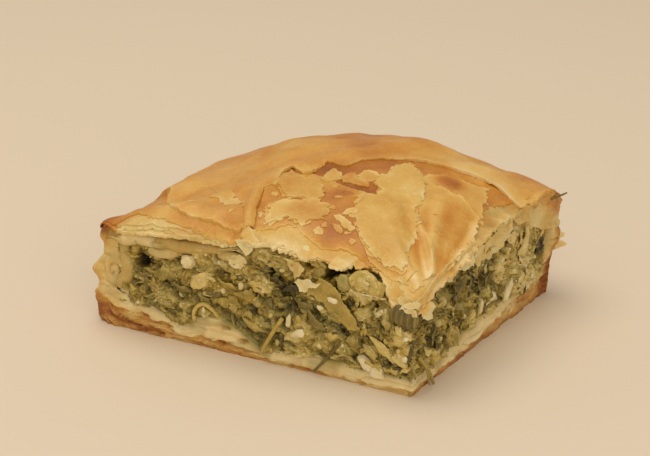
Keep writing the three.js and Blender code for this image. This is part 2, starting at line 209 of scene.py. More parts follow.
def lean(z):
    """How far the back wall leans out at a height."""
    return BACK_LEAN * np.clip(z / CORNER["back"], 0, 1)


# ---- Meshes ----


def make_piece(name, points, faces, material, node, marks=None, crisp=False):
    """Makes one mesh object from millimetre points and arrays of faces, with a number per point in
    each of marks, and lets it stand for its solid. A crisp piece keeps its sharp rims."""
    mesh = bpy.data.meshes.new(name)
    mesh.vertices.add(len(points))
    mesh.vertices.foreach_set("co", (np.asarray(points, float) * 0.001).ravel())
    loops = np.concatenate([np.asarray(f).ravel() for f in faces])
    sizes = np.concatenate([np.full(len(f), np.asarray(f).shape[1]) for f in faces])
    mesh.loops.add(len(loops))
    mesh.loops.foreach_set("vertex_index", loops.astype(np.int32))
    mesh.polygons.add(len(sizes))
    starts = np.concatenate([[0], np.cumsum(sizes)[:-1]])
    mesh.polygons.foreach_set("loop_start", starts.astype(np.int32))
    for key, values in (marks or {}).items():
        attribute = mesh.attributes.new(key, "FLOAT", "POINT")
        attribute.data.foreach_set("value", np.asarray(values, float).ravel())
    mesh.update(calc_edges=True)
    mesh.validate()
    mesh.polygons.foreach_set("use_smooth", np.full(len(mesh.polygons), True))
    if crisp:
        mesh.set_sharp_from_angle(angle=math.radians(50))
    mesh.materials.append(material)
    made = bpy.data.objects.new(name, mesh)
    bpy.context.collection.objects.link(made)
    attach(made, "root")
    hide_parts(node)
    return made


def triangulated(loop, spacing, seed=1):
    """Fills a closed outline with triangles: the outline's points, points inside it spacing apart,
    and the triangles over both.
    """
    low, high = loop.min(0), loop.max(0)
    rows = np.arange(low[1] + spacing / 2, high[1], spacing * 0.87)
    columns = np.arange(low[0] + spacing / 2, high[0], spacing)
    grid = np.array([(x + (i % 2) * spacing / 2, y) for i, y in enumerate(rows) for x in columns])
    random = np.random.default_rng(seed)
    grid = grid + random.uniform(-0.18, 0.18, grid.shape) * spacing
    inner = grid[inside(grid, loop) & (distance_to(grid, loop) > spacing * 0.45)]
    points = np.concatenate([loop, inner])
    count = len(loop)
    edges = [(i, (i + 1) % count) for i in range(count)]
    made = delaunay_2d_cdt([Vector(p) for p in points], edges, [], 1, 1e-6)
    flat_points = np.array([(p.x, p.y) for p in made[0]])
    triangles = np.array([f for f in made[2] if len(f) == 3])
    a, b, c = (flat_points[triangles[:, i]] for i in range(3))
    turned = np.cross(b - a, c - a) < 0
    triangles[turned] = triangles[turned][:, ::-1]
    return flat_points, triangles


def inside(points, loop):
    """Which points lie inside an outline."""
    x, y = points[:, 0], points[:, 1]
    result = np.zeros(len(points), bool)
    for (x0, y0), (x1, y1) in zip(loop, np.roll(loop, -1, axis=0)):
        if y0 == y1:
            continue
        crossing = (y0 > y) != (y1 > y)
        result ^= crossing & (x < (x1 - x0) * (y - y0) / (y1 - y0) + x0)
    return result


def distance_to(points, loop):
    """How far each point is from an outline."""
    best = np.full(len(points), 1e9)
    for a, b in zip(loop, np.roll(loop, -1, axis=0)):
        along = b - a
        t = np.clip((points - a) @ along / max(along @ along, 1e-9), 0, 1)
        best = np.minimum(best, np.linalg.norm(points - a - t[:, None] * along, axis=1))
    return best


def boundary_edges(triangles):
    """The directed edges that only one triangle has."""
    edges = np.concatenate([triangles[:, [0, 1]], triangles[:, [1, 2]], triangles[:, [2, 0]]])
    code = np.sort(edges, axis=1) @ np.array([1 << 32, 1])
    _, first, count = np.unique(code, return_index=True, return_counts=True)
    return edges[first[count == 1]]


def thick_sheet(plan, triangles, top, bottom):
    """Closes a sheet between two heights over a plan. Gives its points and faces."""
    count = len(plan)
    points = np.concatenate([np.column_stack([plan, top]), np.column_stack([plan, bottom])])
    rim = boundary_edges(triangles)
    sides = np.column_stack([rim[:, 1], rim[:, 0], rim[:, 0] + count, rim[:, 1] + count])
    return points, [triangles, triangles[:, ::-1] + count, sides]


# ---- Outlines ----


def torn(corners, wander, step=0.45, seed=0):
    """Walks round an outline in short steps and lets them wander, as a sheet tears."""
    corners = np.array(corners, float)
    ends = np.roll(corners, -1, axis=0)
    counts = np.maximum(1, np.hypot(*(ends - corners).T) // step).astype(int)
    walk = np.array([
        a + (b - a) * i / count for a, b, count in zip(corners, ends, counts) for i in range(count)
    ])
    spots = flat(walk[:, 0], walk[:, 1])
    for size, share in ((5.0, 0.8), (1.9, 0.6), (0.8, 0.5), (0.45, 0.42)):
        shift = np.stack([noise(spots, size, seed), noise(spots, size, seed + 1)], -1)
        walk = walk + shift * wander * share
    return walk


def round_corner(points, middle, way):
    """Draws the square corner of a plan that lies way from middle in to a round one."""
    middle, way = np.array(middle, float), np.array(way, float)
    away = (points - middle) * way
    here = (away > 0).all(axis=1)
    scale = away.max(axis=1) / np.maximum(np.hypot(*away.T), 1e-9)
    return np.where(here[:, None], middle + (points - middle) * scale[:, None], points)


def round_tray_corner(points, back):
    """Draws a square plan in to the round corner between the two tray sides."""
    return round_corner(points, (LEFT + TRAY_CORNER, back - TRAY_CORNER), (-1, 1))


def from_tray_side(x, y, back):
    """How far a spot lies inside the two tray sides, and inside the round corner between them."""
    left, behind = x - LEFT, back - y
    corner = TRAY_CORNER - np.hypot(TRAY_CORNER - left, TRAY_CORNER - behind)
    return np.where(np.maximum(left, behind) < TRAY_CORNER, corner, np.minimum(left, behind))


def rounded(points, out, corners):
    """Rounds some corners of a plan, and turns the ways out there with them."""
    for middle, way in corners:
        moved = round_corner(points, middle, way)
        here = np.any(moved != points, axis=1)
        turn = moved[here] - np.array(middle)
        out[here] = turn / np.linalg.norm(turn, axis=1)[:, None]
        points = moved
    return points, out


SOFT_CORNER = ((LEFT + FRONT_ROUND, FRONT + FRONT_ROUND), (-1, -1))


def plan_loop(cut_step, tray_step, inset=0.0, soft=True):
    """The plan of the pie at its foot: front cut, right cut, back wall and left wall. Gives its
    points, the way out from each, and whether it is on a tray side.
    """
    left, right = LEFT + inset, RIGHT - inset
    front, back = FRONT + inset, BACK - inset
    sides = [
        ((left, front), (right, front), cut_step, (0, -1)),
        ((right, front), (right, back), cut_step, (1, 0)),
        ((right, back), (left, back), tray_step, (0, 1)),
        ((left, back), (left, front), tray_step, (-1, 0)),
    ]
    points, out, tray = [], [], []
    for start, end, step, way in sides:
        length = math.dist(start, end)
        count = int(length / step)
        for i in range(count):
            points.append(lerp(np.array(start), np.array(end), i / count))
            out.append(way)
            tray.append(way[0] < 0 or way[1] > 0)
    corners = [((LEFT + TRAY_CORNER, back - TRAY_CORNER), (-1, 1))] + [SOFT_CORNER] * soft
    points, out = rounded(np.array(points), np.array(out, float), corners)
    return points, out, np.array(tray)


def raised(surface, by):
    """A surface, a function of x and y, moved up by a number of millimetres."""
    return lambda x, y: surface(x, y) + by


def band_solid(loop, out, low, high, push, rows, cap_step):
    """A closed solid: a band of rows round a plan, pushed in and out by push(points, out), with
    caps. low and high give the heights of its lower and upper edges over the plan.
    """
    count = len(loop)
    share = np.linspace(0, 1, rows + 1)[:, None]
    z = lerp(low(loop[:, 0], loop[:, 1])[None], high(loop[:, 0], loop[:, 1])[None], share)
    x = np.broadcast_to(loop[:, 0], z.shape)
    y = loop[:, 1] + lean(z) * (loop[:, 1] - FRONT) / DEPTH
    points = np.stack([x, y, z], -1)
    ways = np.broadcast_to(out, (rows + 1, count, 2))
    points[..., :2] += ways * push(points, ways)[..., None]
    index = np.arange((rows + 1) * count).reshape(rows + 1, count)
    after = np.roll(index, -1, axis=1)
    quads = np.stack([index[:-1], after[:-1], after[1:], index[1:]], -1).reshape(-1, 4)
    all_points, faces = [points.reshape(-1, 3)], [quads]
    start = len(all_points[0])
    for row, height, upwards in ((0, low, False), (rows, high, True)):
        ring = points[row]
        plan, triangles = triangulated(ring[:, :2], cap_step)
        inner = plan[count:]
        foot_y = FRONT + (inner[:, 1] - FRONT) * DEPTH / (DEPTH + np.mean(lean(ring[:, 2])))
        all_points.append(np.column_stack([inner, height(inner[:, 0], foot_y)]))
        on_rim = index[row, triangles % count]
        renamed = np.where(triangles < count, on_rim, triangles - count + start)
        faces.append(renamed if upwards else renamed[:, ::-1])
        start += len(inner)
    return np.concatenate(all_points), faces


# ---- Layer patterns of the pastry, where it is cut ----

BASE_LAYER, SOFT_LAYER, ROLL_LAYER, SIDE_FOLD = 0.9, 2.1, 2.1, 2.6
ROLL = {"across": 4.6, "height": 14.5, "radius": 4.0, "stretch": 1.5}


def layers_in_case(points):
    """The number of the sheet that each point of the case lies in, and how far it lies in the roll
    at the top of the left wall's cut.
    """
    x, y, z = axes(points)
    from_tray = np.minimum(x - LEFT, BACK + lean(z) - y)
    turn = TURN_OF_LAYERS
    corner = np.hypot(np.maximum(turn - from_tray, 0), np.maximum(turn - z, 0))
    in_turn = (from_tray < turn) & (z < turn)
    depth = np.where(in_turn, turn - corner, np.minimum(from_tray, z))
    wobble = 0.6 * noise(points, 6.0, 3) + 0.2 * noise(points, 2.0, 4)
    across = x - LEFT - ROLL["across"] + 0.5 * noise(points, 3.5, 6)
    up = (z - ROLL["height"]) / ROLL["stretch"] + 0.4 * noise(points, 3.5, 7)
    radius = np.hypot(across, up)
    spiral = radius / ROLL_LAYER + np.arctan2(up, across) / (2 * np.pi)
    rolled = rising(ROLL["radius"] - radius, 0, 1.4)
    return np.where(rolled > 0.5, spiral, (depth + wobble) / BASE_LAYER), rolled


def layer_edge(layer):
    """The rounded lip of each layer, from -1 in the gap between two to 1 at the middle of one."""
    part = layer - np.floor(layer)
    return 1 - 2 * np.abs(2 * part - 1) ** 3


# ---- Materials ----


def srgb(code):
    """The linear colour of an sRGB hex code."""
    values = [int(code[i : i + 2], 16) / 255 for i in (1, 3, 5)]
    return [v / 12.92 if v <= 0.04045 else ((v + 0.055) / 1.055) ** 2.4 for v in values] + [1.0]


def add_node(tree, kind, inputs=None, **settings):
    """Adds a node with its settings, and sets or links its inputs."""
    made = tree.nodes.new(kind)
    for key, value in settings.items():
        setattr(made, key, value)
    for key, value in (inputs or {}).items():
        if isinstance(value, bpy.types.NodeSocket):
            tree.links.new(value, made.inputs[key])
        else:
            made.inputs[key].default_value = value
    return made


def new_material(name):
    material = bpy.data.materials.new(name)
    material.use_nodes = True
    tree = material.node_tree
    return material, tree, tree.nodes["Principled BSDF"]


def per_mm(size):
    """The scale of a texture in object space whose features are size millimetres across."""
    return 1000.0 / size


def noise_texture(tree, place, size, detail, roughness):
    """A noise texture whose features are size millimetres across."""
    inputs = {"Vector": place, "Scale": per_mm(size), "Detail": detail, "Roughness": roughness}
    return add_node(tree, "ShaderNodeTexNoise", inputs).outputs["Fac"]


def calculated(tree, operation, *values, clamp=False):
    inputs = dict(enumerate(values))
    made = add_node(tree, "ShaderNodeMath", inputs, operation=operation, use_clamp=clamp)
    return made.outputs[0]


def stretched(tree, value, low, high, new_low, new_high):
    """Stretches a value's range from low and high to new_low and new_high."""
    inputs = {
        "Value": value, "From Min": low, "From Max": high, "To Min": new_low, "To Max": new_high
    }
    return add_node(tree, "ShaderNodeMapRange", inputs).outputs[0]


def mark(tree, name):
    """A number that each point of a piece carries."""
    return add_node(tree, "ShaderNodeAttribute", attribute_name=name).outputs["Fac"]


def ramp(tree, share, stops):
    """The colour at a share of the way along the stops."""
    made = add_node(tree, "ShaderNodeValToRGB", {"Fac": share})
    elements = made.color_ramp.elements
    while len(elements) < len(stops):
        elements.new(0.5)
    for element, (place, code) in zip(elements, stops):
        element.position = place
        element.color = srgb(code)
    return made.outputs["Color"]


def blended(tree, share, first, second):
    inputs = {"Factor": share, "A": first, "B": second}
    return add_node(tree, "ShaderNodeMix", inputs, data_type="RGBA").outputs["Result"]


def surface(tree, shader, colour, roughness, grain, **constants):
    """Links a surface's colour, roughness and grain, and sets what is the same all over it. grain
    is its pattern, its strength, and its height in millimetres.
    """
    pattern, strength, height = grain
    inputs = {"Height": pattern, "Strength": strength, "Distance": height * 0.001}
    raised = add_node(tree, "ShaderNodeBump", inputs).outputs[0]
    for key, value in (("Base Color", colour), ("Roughness", roughness), ("Normal", raised)):
        tree.links.new(value, shader.inputs[key])
    for key, value in constants.items():
        shader.inputs[key.replace("_", " ")].default_value = value


def phyllo(name, stops, roughness, through, bump):
    """Baked phyllo: thin wheat sheets, brushed with butter. Each point's toast says how far it
    browned, with painted light and shade added in places, and its stain how far the green juice of
    the filling soaked in. Small bubbles stay paler. Fine blisters and a film of butter give it a
    soft, broken shine, and light passes a little way in.
    """
    material, tree, shader = new_material(name)
    place = add_node(tree, "ShaderNodeTexCoord").outputs["Object"]
    clouds = noise_texture(tree, place, 9.0, 5.0, 0.62)
    specks = noise_texture(tree, place, 1.1, 3.0, 0.6)
    bubbles = noise_texture(tree, place, 0.55, 1.0, 0.5)
    mottle = calculated(
        tree, "ADD",
        calculated(tree, "MULTIPLY_ADD", clouds, 0.26, -0.13),
        calculated(tree, "MULTIPLY_ADD", specks, 0.16, -0.08),
    )
    mottle = calculated(tree, "ADD", mottle, stretched(tree, bubbles, 0.58, 0.7, 0.0, -0.12))
    browned = calculated(tree, "ADD", mark(tree, "toast"), mottle, clamp=True)
    surface(
        tree, shader, blended(tree, mark(tree, "stain"), ramp(tree, browned, stops), srgb(JUICE)),
        stretched(tree, clouds, 0.3, 0.7, roughness - 0.1, roughness + 0.12),
        (noise_texture(tree, place, 0.8, 4.0, 0.65), 0.5, bump),
        IOR=1.45, Subsurface_Weight=through, Subsurface_Radius=(1.0, 0.62, 0.3),
        Subsurface_Scale=0.0012,
    )
    return material


CRUST_STOPS = [
    (0.0, "#ecd49a"), (0.25, "#dfb35d"), (0.5, "#ca8b30"), (0.72, "#b0691b"), (1.0, "#743d10"),
]
DOUGH_STOPS = [
    (0.0, "#f0dea8"), (0.3, "#dcbb70"), (0.55, "#c48c3e"), (0.78, "#a06126"), (1.0, "#743c16"),
]
JUICE = "#978a45"

golden_phyllo = phyllo("golden_phyllo", CRUST_STOPS, 0.42, 0.3, 0.12)
pale_phyllo = phyllo("pale_phyllo", DOUGH_STOPS, 0.5, 0.3, 0.16)

# ---- Broken lumps and layers ----


def cells(u, v, size, stretch, seed):
    """Uneven lumps that fill a plane: the number of each spot's lump, from -1 to 1, and how far
    inside the lump's edge it lies, as a share of the lump's size.
    """
    grid_u, grid_v = u / (size * stretch), v / size
    best, second, number = np.full(u.shape, 9.0), np.full(u.shape, 9.0), np.zeros(u.shape)
    for i in (-1, 0, 1):
        for j in (-1, 0, 1):
            cell = np.stack([np.floor(grid_u) + i, np.floor(grid_v) + j, 0 * u], -1)
            cell = cell.astype(np.int64)
            away = np.hypot(
                grid_u - cell[..., 0] - 0.5 - 0.42 * hashed(cell, seed),
                grid_v - cell[..., 1] - 0.5 - 0.42 * hashed(cell, seed + 1),
            )
            closer = away < best
            second = np.where(closer, best, np.minimum(second, away))
            number = np.where(closer, hashed(cell, seed + 2), number)
            best = np.minimum(best, away)
    return number, second - best


# ---- The lid: thin sheets, laid one on another over the dome ----

GRID = 0.4
GRID_X = np.arange(LEFT - 5, RIGHT + 6, GRID)
GRID_Y = np.arange(FRONT - 5, BACK + BACK_LEAN + 6, GRID)
MAP_X, MAP_Y = np.meshgrid(GRID_X, GRID_Y)


def blurred(heights, reach):
    """Smooths a height map with a bell of the given reach in millimetres."""
    margin = int(3 * reach / GRID) + 1
    bell = np.exp(-(((np.arange(-margin, margin + 1) * GRID) / reach) ** 2) / 2)
    bell /= bell.sum()
    padded = np.pad(heights, margin, mode="edge")
    for axis in (1, 0):
        padded = np.apply_along_axis(lambda row: np.convolve(row, bell, "valid"), axis, padded)
    return padded


def read_map(heights, x, y):
    """The height of a map at any place, between its grid points."""
    u = np.clip((x - GRID_X[0]) / GRID, 0, len(GRID_X) - 1.001)
    v = np.clip((y - GRID_Y[0]) / GRID, 0, len(GRID_Y) - 1.001)
    i, j = u.astype(int), v.astype(int)
    s, t = u - i, v - j
    near = lerp(heights[j, i], heights[j, i + 1], s)
    far = lerp(heights[j + 1, i], heights[j + 1, i + 1], s)
    return lerp(near, far, t)


def creases(x, y):
    """Long, shallow creases of the top sheets, from about -0.7 to 0.7."""
    crossing = 0.45 * np.sin(x * 0.24 + y * 0.11 + 0.6) * np.sin(y * 0.27 - x * 0.05)
    return crossing + 0.25 * np.sin(x * 0.5 - y * 0.33 + 1.9)


def ledge_room(x, y):
    """How far the lid's thickness drops at the front cut, where thin sheets lie bare in steps."""
    left_part = rising(x, -43, -37) * falling(x, -6, 2) * falling(y, -38.5, -33)
    near_part = rising(x, 0, 6) * falling(y, -36, -29)
    return 2.0 * left_part + 1.1 * near_part


def torn_front(x):
    """How far the lid is torn away over the front cut, from 0 to 1: there the filling shows up to
    the top sheets.
    """
    return rising(x, 1, 6) * falling(x, 37.5, 40.5)


# Where the whole lid puffed up: (place, reach along x and y, rise). The first is the browned tip
# at the front left.
PUFFS = [
    ((-44.5, -37.5), (4.5, 7.0), 3.8), ((48, 35), (11, 14), 3.5), ((13, 27), (8, 9), 2.0),
    ((34, 31), (5, 8), 0.9),
]


def puffed(x, y):
    return sum(rise * swelling(x, y, place, reach) for place, reach, rise in PUFFS)


class Lid:
    """The heights of what lies on top so far, over the map's grid."""

    on_x = np.clip(MAP_X, LEFT + 0.2, RIGHT)
    top = crust(on_x, MAP_Y) - 1.9 - ledge_room(MAP_X, MAP_Y) + puffed(on_x, MAP_Y)

    @classmethod
    def resting(cls, drape):
        """Where a sheet rests on all that is there. drape is how stiffly it spans the hollows."""
        draped = blurred(cls.top, drape)
        return np.maximum(draped, blurred(np.maximum(cls.top, draped), 0.6))

    @classmethod
    def cover(cls, outline, heights):
        """Raises the top to heights inside an outline."""
        places = np.column_stack([MAP_X.ravel(), MAP_Y.ravel()])
        near = np.all((places > outline.min(0)) & (places < outline.max(0)), axis=1)
        covered = np.zeros(len(places), bool)
        covered[near] = inside(places[near], outline)
        cls.top = np.where(covered.reshape(MAP_X.shape), np.maximum(cls.top, heights), cls.top)


# Where the oven browned the top more or less: (x, y, reach, toast). The paler patches at (32, 24)
# and (44, 28) are painted light, which brightens the back right where the skin turns away from the
# key light.
BROWNING_AND_LIGHT_SPOTS = [
    (12, -14, 4, 0.2), (15, -10, 3, 0.12), (17, -29, 3.6, 0.17), (22, -30, 3, 0.1),
    (8, -35, 6, -0.16), (26, -36, 5, -0.1), (-10, 22, 22, 0.16), (-45, -36, 4, 0.3),
    (4, -3, 5, 0.12), (32, 24, 9, -0.2), (44, 28, 6, -0.04), (36, 36, 9, 0.1),
    (-28, -34, 6, -0.14), (-38, 30, 14, 0.14), (40, 40, 6, 0.1), (40, 15, 5, -0.14),
    (20, 22, 7, -0.06), (2, -24, 3, -0.1), (24, -2, 5, -0.14), (20, 6, 4, -0.14),
    (38, -13, 2.6, 0.1), (44, -14, 4, -0.08), (42, -29, 5, -0.12), (44, -2, 4, -0.04),
    (41, -37, 5, -0.06), (46.5, -28, 4, -0.14), (46.5, -14, 5, -0.1), (12, -37, 6, -0.08),
]


def browning_and_painted_light(x, y):
    spots = (
        toast * np.exp(-((x - u) ** 2 + (y - v) ** 2) / reach**2) for u, v, reach, toast in BROWNING_AND_LIGHT_SPOTS
    )
    return sum(spots)


def shape_sheet(outline, gap=0.3, drape=1.2, curl=0.3, curl_width=1.2, thickness=0.26, toast=0.45,
                edge_toast=-0.16, spacing=0.6, seed=0, shape=None, wrinkle=0.12, tint=None,
                hollow=None):
    """Shapes one thin sheet to lie over all that is there, a gap above it. Its torn edge lifts by up
    to curl, and air shows under it where it stands off by more than hollow. Gives its points, its
    faces and how far each point browned, with painted light and shade added: paler ridges and darker
    valleys on its wrinkles, and a paler rim that is partly a painted highlight.
    """
    resting = Lid.resting(drape) + gap
    if shape is not None:
        resting = resting + shape(MAP_X, MAP_Y)
    plan, triangles = triangulated(outline, spacing, seed)
    x, y = plan.T
    spots = flat(x, y)
    edge = distance_to(plan, outline)
    lift = curl * np.exp(-edge / curl_width) * (0.55 + 0.6 * noise(spots, 5.0, seed + 3))
    fine = wrinkle * (0.6 * rough(spots, 7.0, 2, seed + 6) + 0.4 * rough(spots, 2.6, 3, seed + 5))
    top = read_map(resting, x, y) + lift + fine
    floor = read_map(Lid.top, x, y)
    top = np.maximum(top, floor + thickness + 0.03)
    least = 0.5 if hollow is None else hollow(x, y)
    free = rising(top - floor - thickness, least, least + 0.5)
    under = lerp(np.minimum(top - thickness, floor - 0.08), top - thickness, free)
    points, faces = thick_sheet(plan, triangles, top, under)
    touching = np.exp(-np.maximum(top - floor - thickness, 0) / 0.3)
    # The torn rim is paler: thinner, less browned pastry, and also a painted highlight for light
    # caught along the rim.
    pale_and_lit_rim = edge_toast * (0.8 + 0.7 * noise(spots, 3.5, seed + 13))
    pale_and_lit_rim *= rising(np.minimum(x - LEFT, BACK + BACK_LEAN - y), 1.5, 4)
    browned = toast + pale_and_lit_rim * np.exp(-edge / 0.8) + 0.075 * rough(spots, 14.0, 2, seed + 9)
    browned += browning_and_painted_light(x, y) + 0.035 * rough(spots, 3.6, 2, seed + 11)
    # Painted light and shade: paler on the ridges of the wrinkles and darker in their valleys,
    # following the relief. Browner where the sheet lies on the one below.
    browned += 0.12 * (touching - 0.35) - 0.05 * fine / max(wrinkle, 0.1)
    if tint is not None:
        browned += tint(x, y)
    Lid.cover(outline, resting + 0.1)
    return points, faces, np.tile(browned, 2)


def grown(corners, by):
    """An outline grown out from its middle."""
    corners = np.array(corners, float)
    away = corners - corners.mean(0)
    return corners + away * by / np.linalg.norm(away, axis=1, keepdims=True)


def lay_sheet(name, outline, material=None, ply=None, stain=0.0, **how):
    """Lays one thin sheet over all that is there, as a piece of its own. ply is the outline of a
    second sheet that sticks to it from below, and stain is how far juice soaked in.
    """
    shaped = shape_sheet(outline, **how) if ply is None else two_plies(outline, ply, **how)
    points, faces, browned = shaped
    marks = {"toast": browned}
    if stain:
        marks["stain"] = stain * np.clip(0.5 + 0.8 * noise(points, 3.0, 88), 0, 1)
    make_piece(name, points, faces, material or golden_phyllo, "pastry_lid", marks, crisp=True)


def two_plies(outline, ply, **how):
    """Shapes a sheet and a second one that sticks to it from below, a little browner."""
    below = {**how, "toast": how["toast"] + 0.05, "curl": 0.1, "seed": how["seed"] + 60}
    lower, upper = shape_sheet(ply, **below), shape_sheet(outline, **{**how, "gap": 0.1})
    faces = [np.concatenate([a, b + len(lower[0])]) for a, b in zip(lower[1], upper[1])]
    return np.concatenate([lower[0], upper[0]]), faces, np.concatenate([lower[2], upper[2]])


def lay_flakes(name, flakes, **how):
    """Lays many small sheets, each an outline and its toast, one after another, all as one piece.
    """
    all_points, all_faces, all_browned, start = [], [[], [], []], [], 0
    for i, (outline, toast) in enumerate(flakes):
        points, faces, browned = shape_sheet(outline, toast=toast, seed=300 + i, **how)
        all_points.append(points)
        all_browned.append(browned)
        for group, part in zip(all_faces, faces):
            group.append(part + start)
        start += len(points)
    points, faces = np.concatenate(all_points), [np.concatenate(group) for group in all_faces]
    marks = {"toast": np.concatenate(all_browned)}
    make_piece(name, points, faces, golden_phyllo, "pastry_lid", marks, crisp=True)


def torn_each(outlines, wander, step, seed, toast):
    """Tears each of many outlines. toast is the first one's, how much more the next one's is, and
    after how many it starts again.
    """
    first, more, count = toast
    return [
        (torn(outline, wander, step, seed + i), first + more * (i % count))
        for i, outline in enumerate(outlines)
    ]


def whole_plan(grow):
    """The plan of the whole lid, grown past its edges, without its torn front."""
    left, right, front, back = LEFT - grow, RIGHT + grow, FRONT - grow, BACK + BACK_LEAN + grow
    torn_edge = [(4, front), (7, FRONT + 4.6), (35, FRONT + 6), (39.4, front)]
    corners = [(left, front), *torn_edge, (right, front), (right, back), (left, back)]
    return round_corner(round_tray_corner(torn(corners, 0.25, 0.6, 2), back), *SOFT_CORNER)


LOWER_SKIN = [
    (-44.2, -38.0), (-42.6, -38.2), (-40.2, -37.6), (-37.8, -36.4), (-36.2, -35.3), (-32.3, -35.5),
    (-27.8, -36.6), (-23.6, -37.4), (-19.5, -38.3), (-15.5, -39.3), (-9.8, -39.5), (-4.5, -39.3),
    (-1, -38.9), (-2, -30), (-20, -22), (-36, -8), (-45.2, -6), (-45.2, -22), (-44.4, -30),
]
SKIN = [
    (-45.6, -14.6), (-40, -17.6), (-34.6, -20.2), (-32.2, -24.4), (-29.0, -29.8), (-25.4, -33.2),
    (-21.3, -35.5), (-18.8, -36.3), (-13.5, -36.9), (-9.5, -36.8), (-6.2, -37.6), (-3.2, -37.8),
    (-1.5, -37), (-5, -28), (-7, -21), (-5, -18), (-7, -10), (-6, -8), (0, -12), (0.7, -9.6),
    (1.3, -1.6), (7, -2), (8.4, 4), (14.3, 10), (20.6, 15), (30, 20), (38.5, 21), (45.4, 18),
    (46.4, 26), (46.6, 34), (45.8, 43.9), (-45.5, 43.9),
]
BROAD_LOBE = [
    (16.9, 6.0), (18.6, 10.4), (23, 6.6), (26.4, 2.6), (28.6, -4.0), (31.1, -10.9), (33.8, -16.0),
    (35.3, -22.2), (35.9, -25.8), (36.9, -26.6), (37.9, -28.8), (38.3, -31.4), (34.9, -31.8),
    (31.8, -31.5), (29.1, -30.7), (27.6, -28.6), (25.5, -27.7), (23.4, -25.2), (21.4, -22.5),
    (18.2, -20.4), (18.8, -18.6), (17.8, -15.4), (17.6, -12.6), (19.6, -10.6), (19.4, -7.8),
    (16.8, -5.6), (16.6, -1.0), (17.6, 2.4),
]
BROAD_FAN = [
    (24, 5), (29, 4.5), (35, 5.8), (41.7, 3.2), (42.8, -1.5), (44.1, -4), (45.7, -9.7),
    (45.6, -14), (45.2, -20.6), (44.5, -26.7), (43.6, -31.4), (42.4, -34.4), (41.0, -33.0),
    (39.6, -33.8), (37.4, -30.0), (33, -26), (27, -16), (24, -6),
]
BACK_FAN = [
    (23.6, 3.0), (24.2, 5.4), (25.0, 8.3), (26.4, 10.6), (27.4, 13.2), (30.7, 15.0), (33.9, 16.2),
    (37.5, 17.4), (38.8, 13.0), (40.0, 9.2), (41.6, 5.0), (43.6, 1.4), (36, -2), (26, -2),
]
FAN_BORDER = [
    (39.5, -34.5), (41.5, -36.8), (43.4, -38.2), (45.4, -38.4), (46.6, -35.0), (46.9, -30),
    (47.0, -25), (46.8, -20), (46.7, -15), (46.4, -10), (45.4, -6.5), (43.5, -8), (43, -18),
    (42, -28), (39, -32),
]
UNDER_LOBE = [
    (25.4, -28.2), (27.6, -30.6), (30.4, -32.6), (34.0, -33.6), (38.4, -34.2), (40.6, -33.2),
    (40.6, -28), (30, -22),
]
ROOF = [
    (-3, -38.8), (2, -38.2), (8, -39), (14, -39.2), (18.2, -38.6), (20.3, -37.8), (22.8, -37.4),
    (24.2, -37.8), (26.0, -37.6), (27.4, -36.2), (27.8, -34.2), (29.4, -33.0), (30.8, -32.8),
    (32.7, -33.4), (35.6, -35.2), (37.6, -37.6), (40.4, -38.9), (44, -38.4), (45, -26), (40, -12),
    (24, -10), (12, -12), (2, -10), (-8, -14),
]
AMBER_STEP = [
    (-6, -33), (2.5, -35.8), (4.9, -34.0), (5.9, -32.5), (6.9, -31.3), (8.6, -31.3), (10.4, -31.6),
    (12.4, -32.2), (14.6, -33.0), (17.2, -34.2), (19.3, -34.5), (20.9, -34.4), (22.2, -33.3),
    (23.8, -32.7), (25.3, -32.5), (26.6, -32.5), (28.2, -32.9), (30.4, -33.2), (33.7, -34.2),
    (35.8, -33.8), (38.0, -33.0), (36, -24), (28, -14), (12, -14), (-6, -16),
]
HEART_FLAKE = [
    (-6, -14.4), (-5.3, -9.3), (1.2, -13.2), (4, -11.8), (8.7, -16.8), (9.2, -21.1), (2.5, -22.7),
    (-4, -18.6),
]
STRIP_FLAKE = [
    (1.6, -32.4), (-1.2, -26.9), (0.6, -24.2), (8.8, -21.3), (14, -20.6), (13, -26), (10.9, -30.1),
    (5, -29.7), (2.8, -34.3),
]
SMALL_FLAKE = [(-17.9, -27), (-18.6, -24.5), (-14.3, -23.7), (-7.5, -29), (-10.5, -30.5)]


def pleats(x, y):
    """The fan of pleats that runs together at the near corner."""
    angle = np.arctan2(y - FRONT, x - RIGHT - 4)
    reach = np.hypot(x - RIGHT, y - FRONT)
    here = rising(x, 18, 28) * rising(reach, 3, 12) * falling(reach, 34, 44)
    broad = 0.5 * np.sin(angle * 19 + 0.8 + 0.5 * np.sin(reach * 0.3))
    fine = 0.3 * np.sin(angle * 47 + 2.1 + 0.6 * np.sin(reach * 0.21)) * rising(reach, 8, 14)
    return here * (broad + fine)


FRONT_EDGE = [
    (-45.6, -37.0), (-38, -38.4), (-31, -38.9), (-24, -39.4), (-16, -39.8), (-9, -39.6),
    (-3, -39.2),
]
FINGER_FOLD = [
    (-9.4, -21.2), (-6.6, -20.0), (-4.6, -24.5), (-2.6, -29.5), (0.6, -35.8), (-1.6, -37.4),
    (-4.8, -32.0), (-7.6, -26.0),
]
LOWER_RIGHT = [
    (36, -18), (45.9, -19), (46.1, -8), (45.8, 4), (46.0, 14), (45.6, 21), (38, 22), (33, 8),
]
CRACK_FLAKES = [
    [(4.0, -8.4), (4.3, -4.2), (7.1, -5.4), (8.4, -8.6), (6.4, -12.5), (5.0, -12.4)],
    [(11.4, -5.4), (12.4, -0.6), (15.6, -1.3), (17.9, -2.6), (15.6, -6.0)],
    [(8.2, -5.5), (10.3, -3.8), (12.0, -5.3), (15.8, -6.6), (16.4, -8.9), (13.9, -9.2),
     (11.6, -8.7), (9.5, -9.9), (7.8, -8.4)],
]
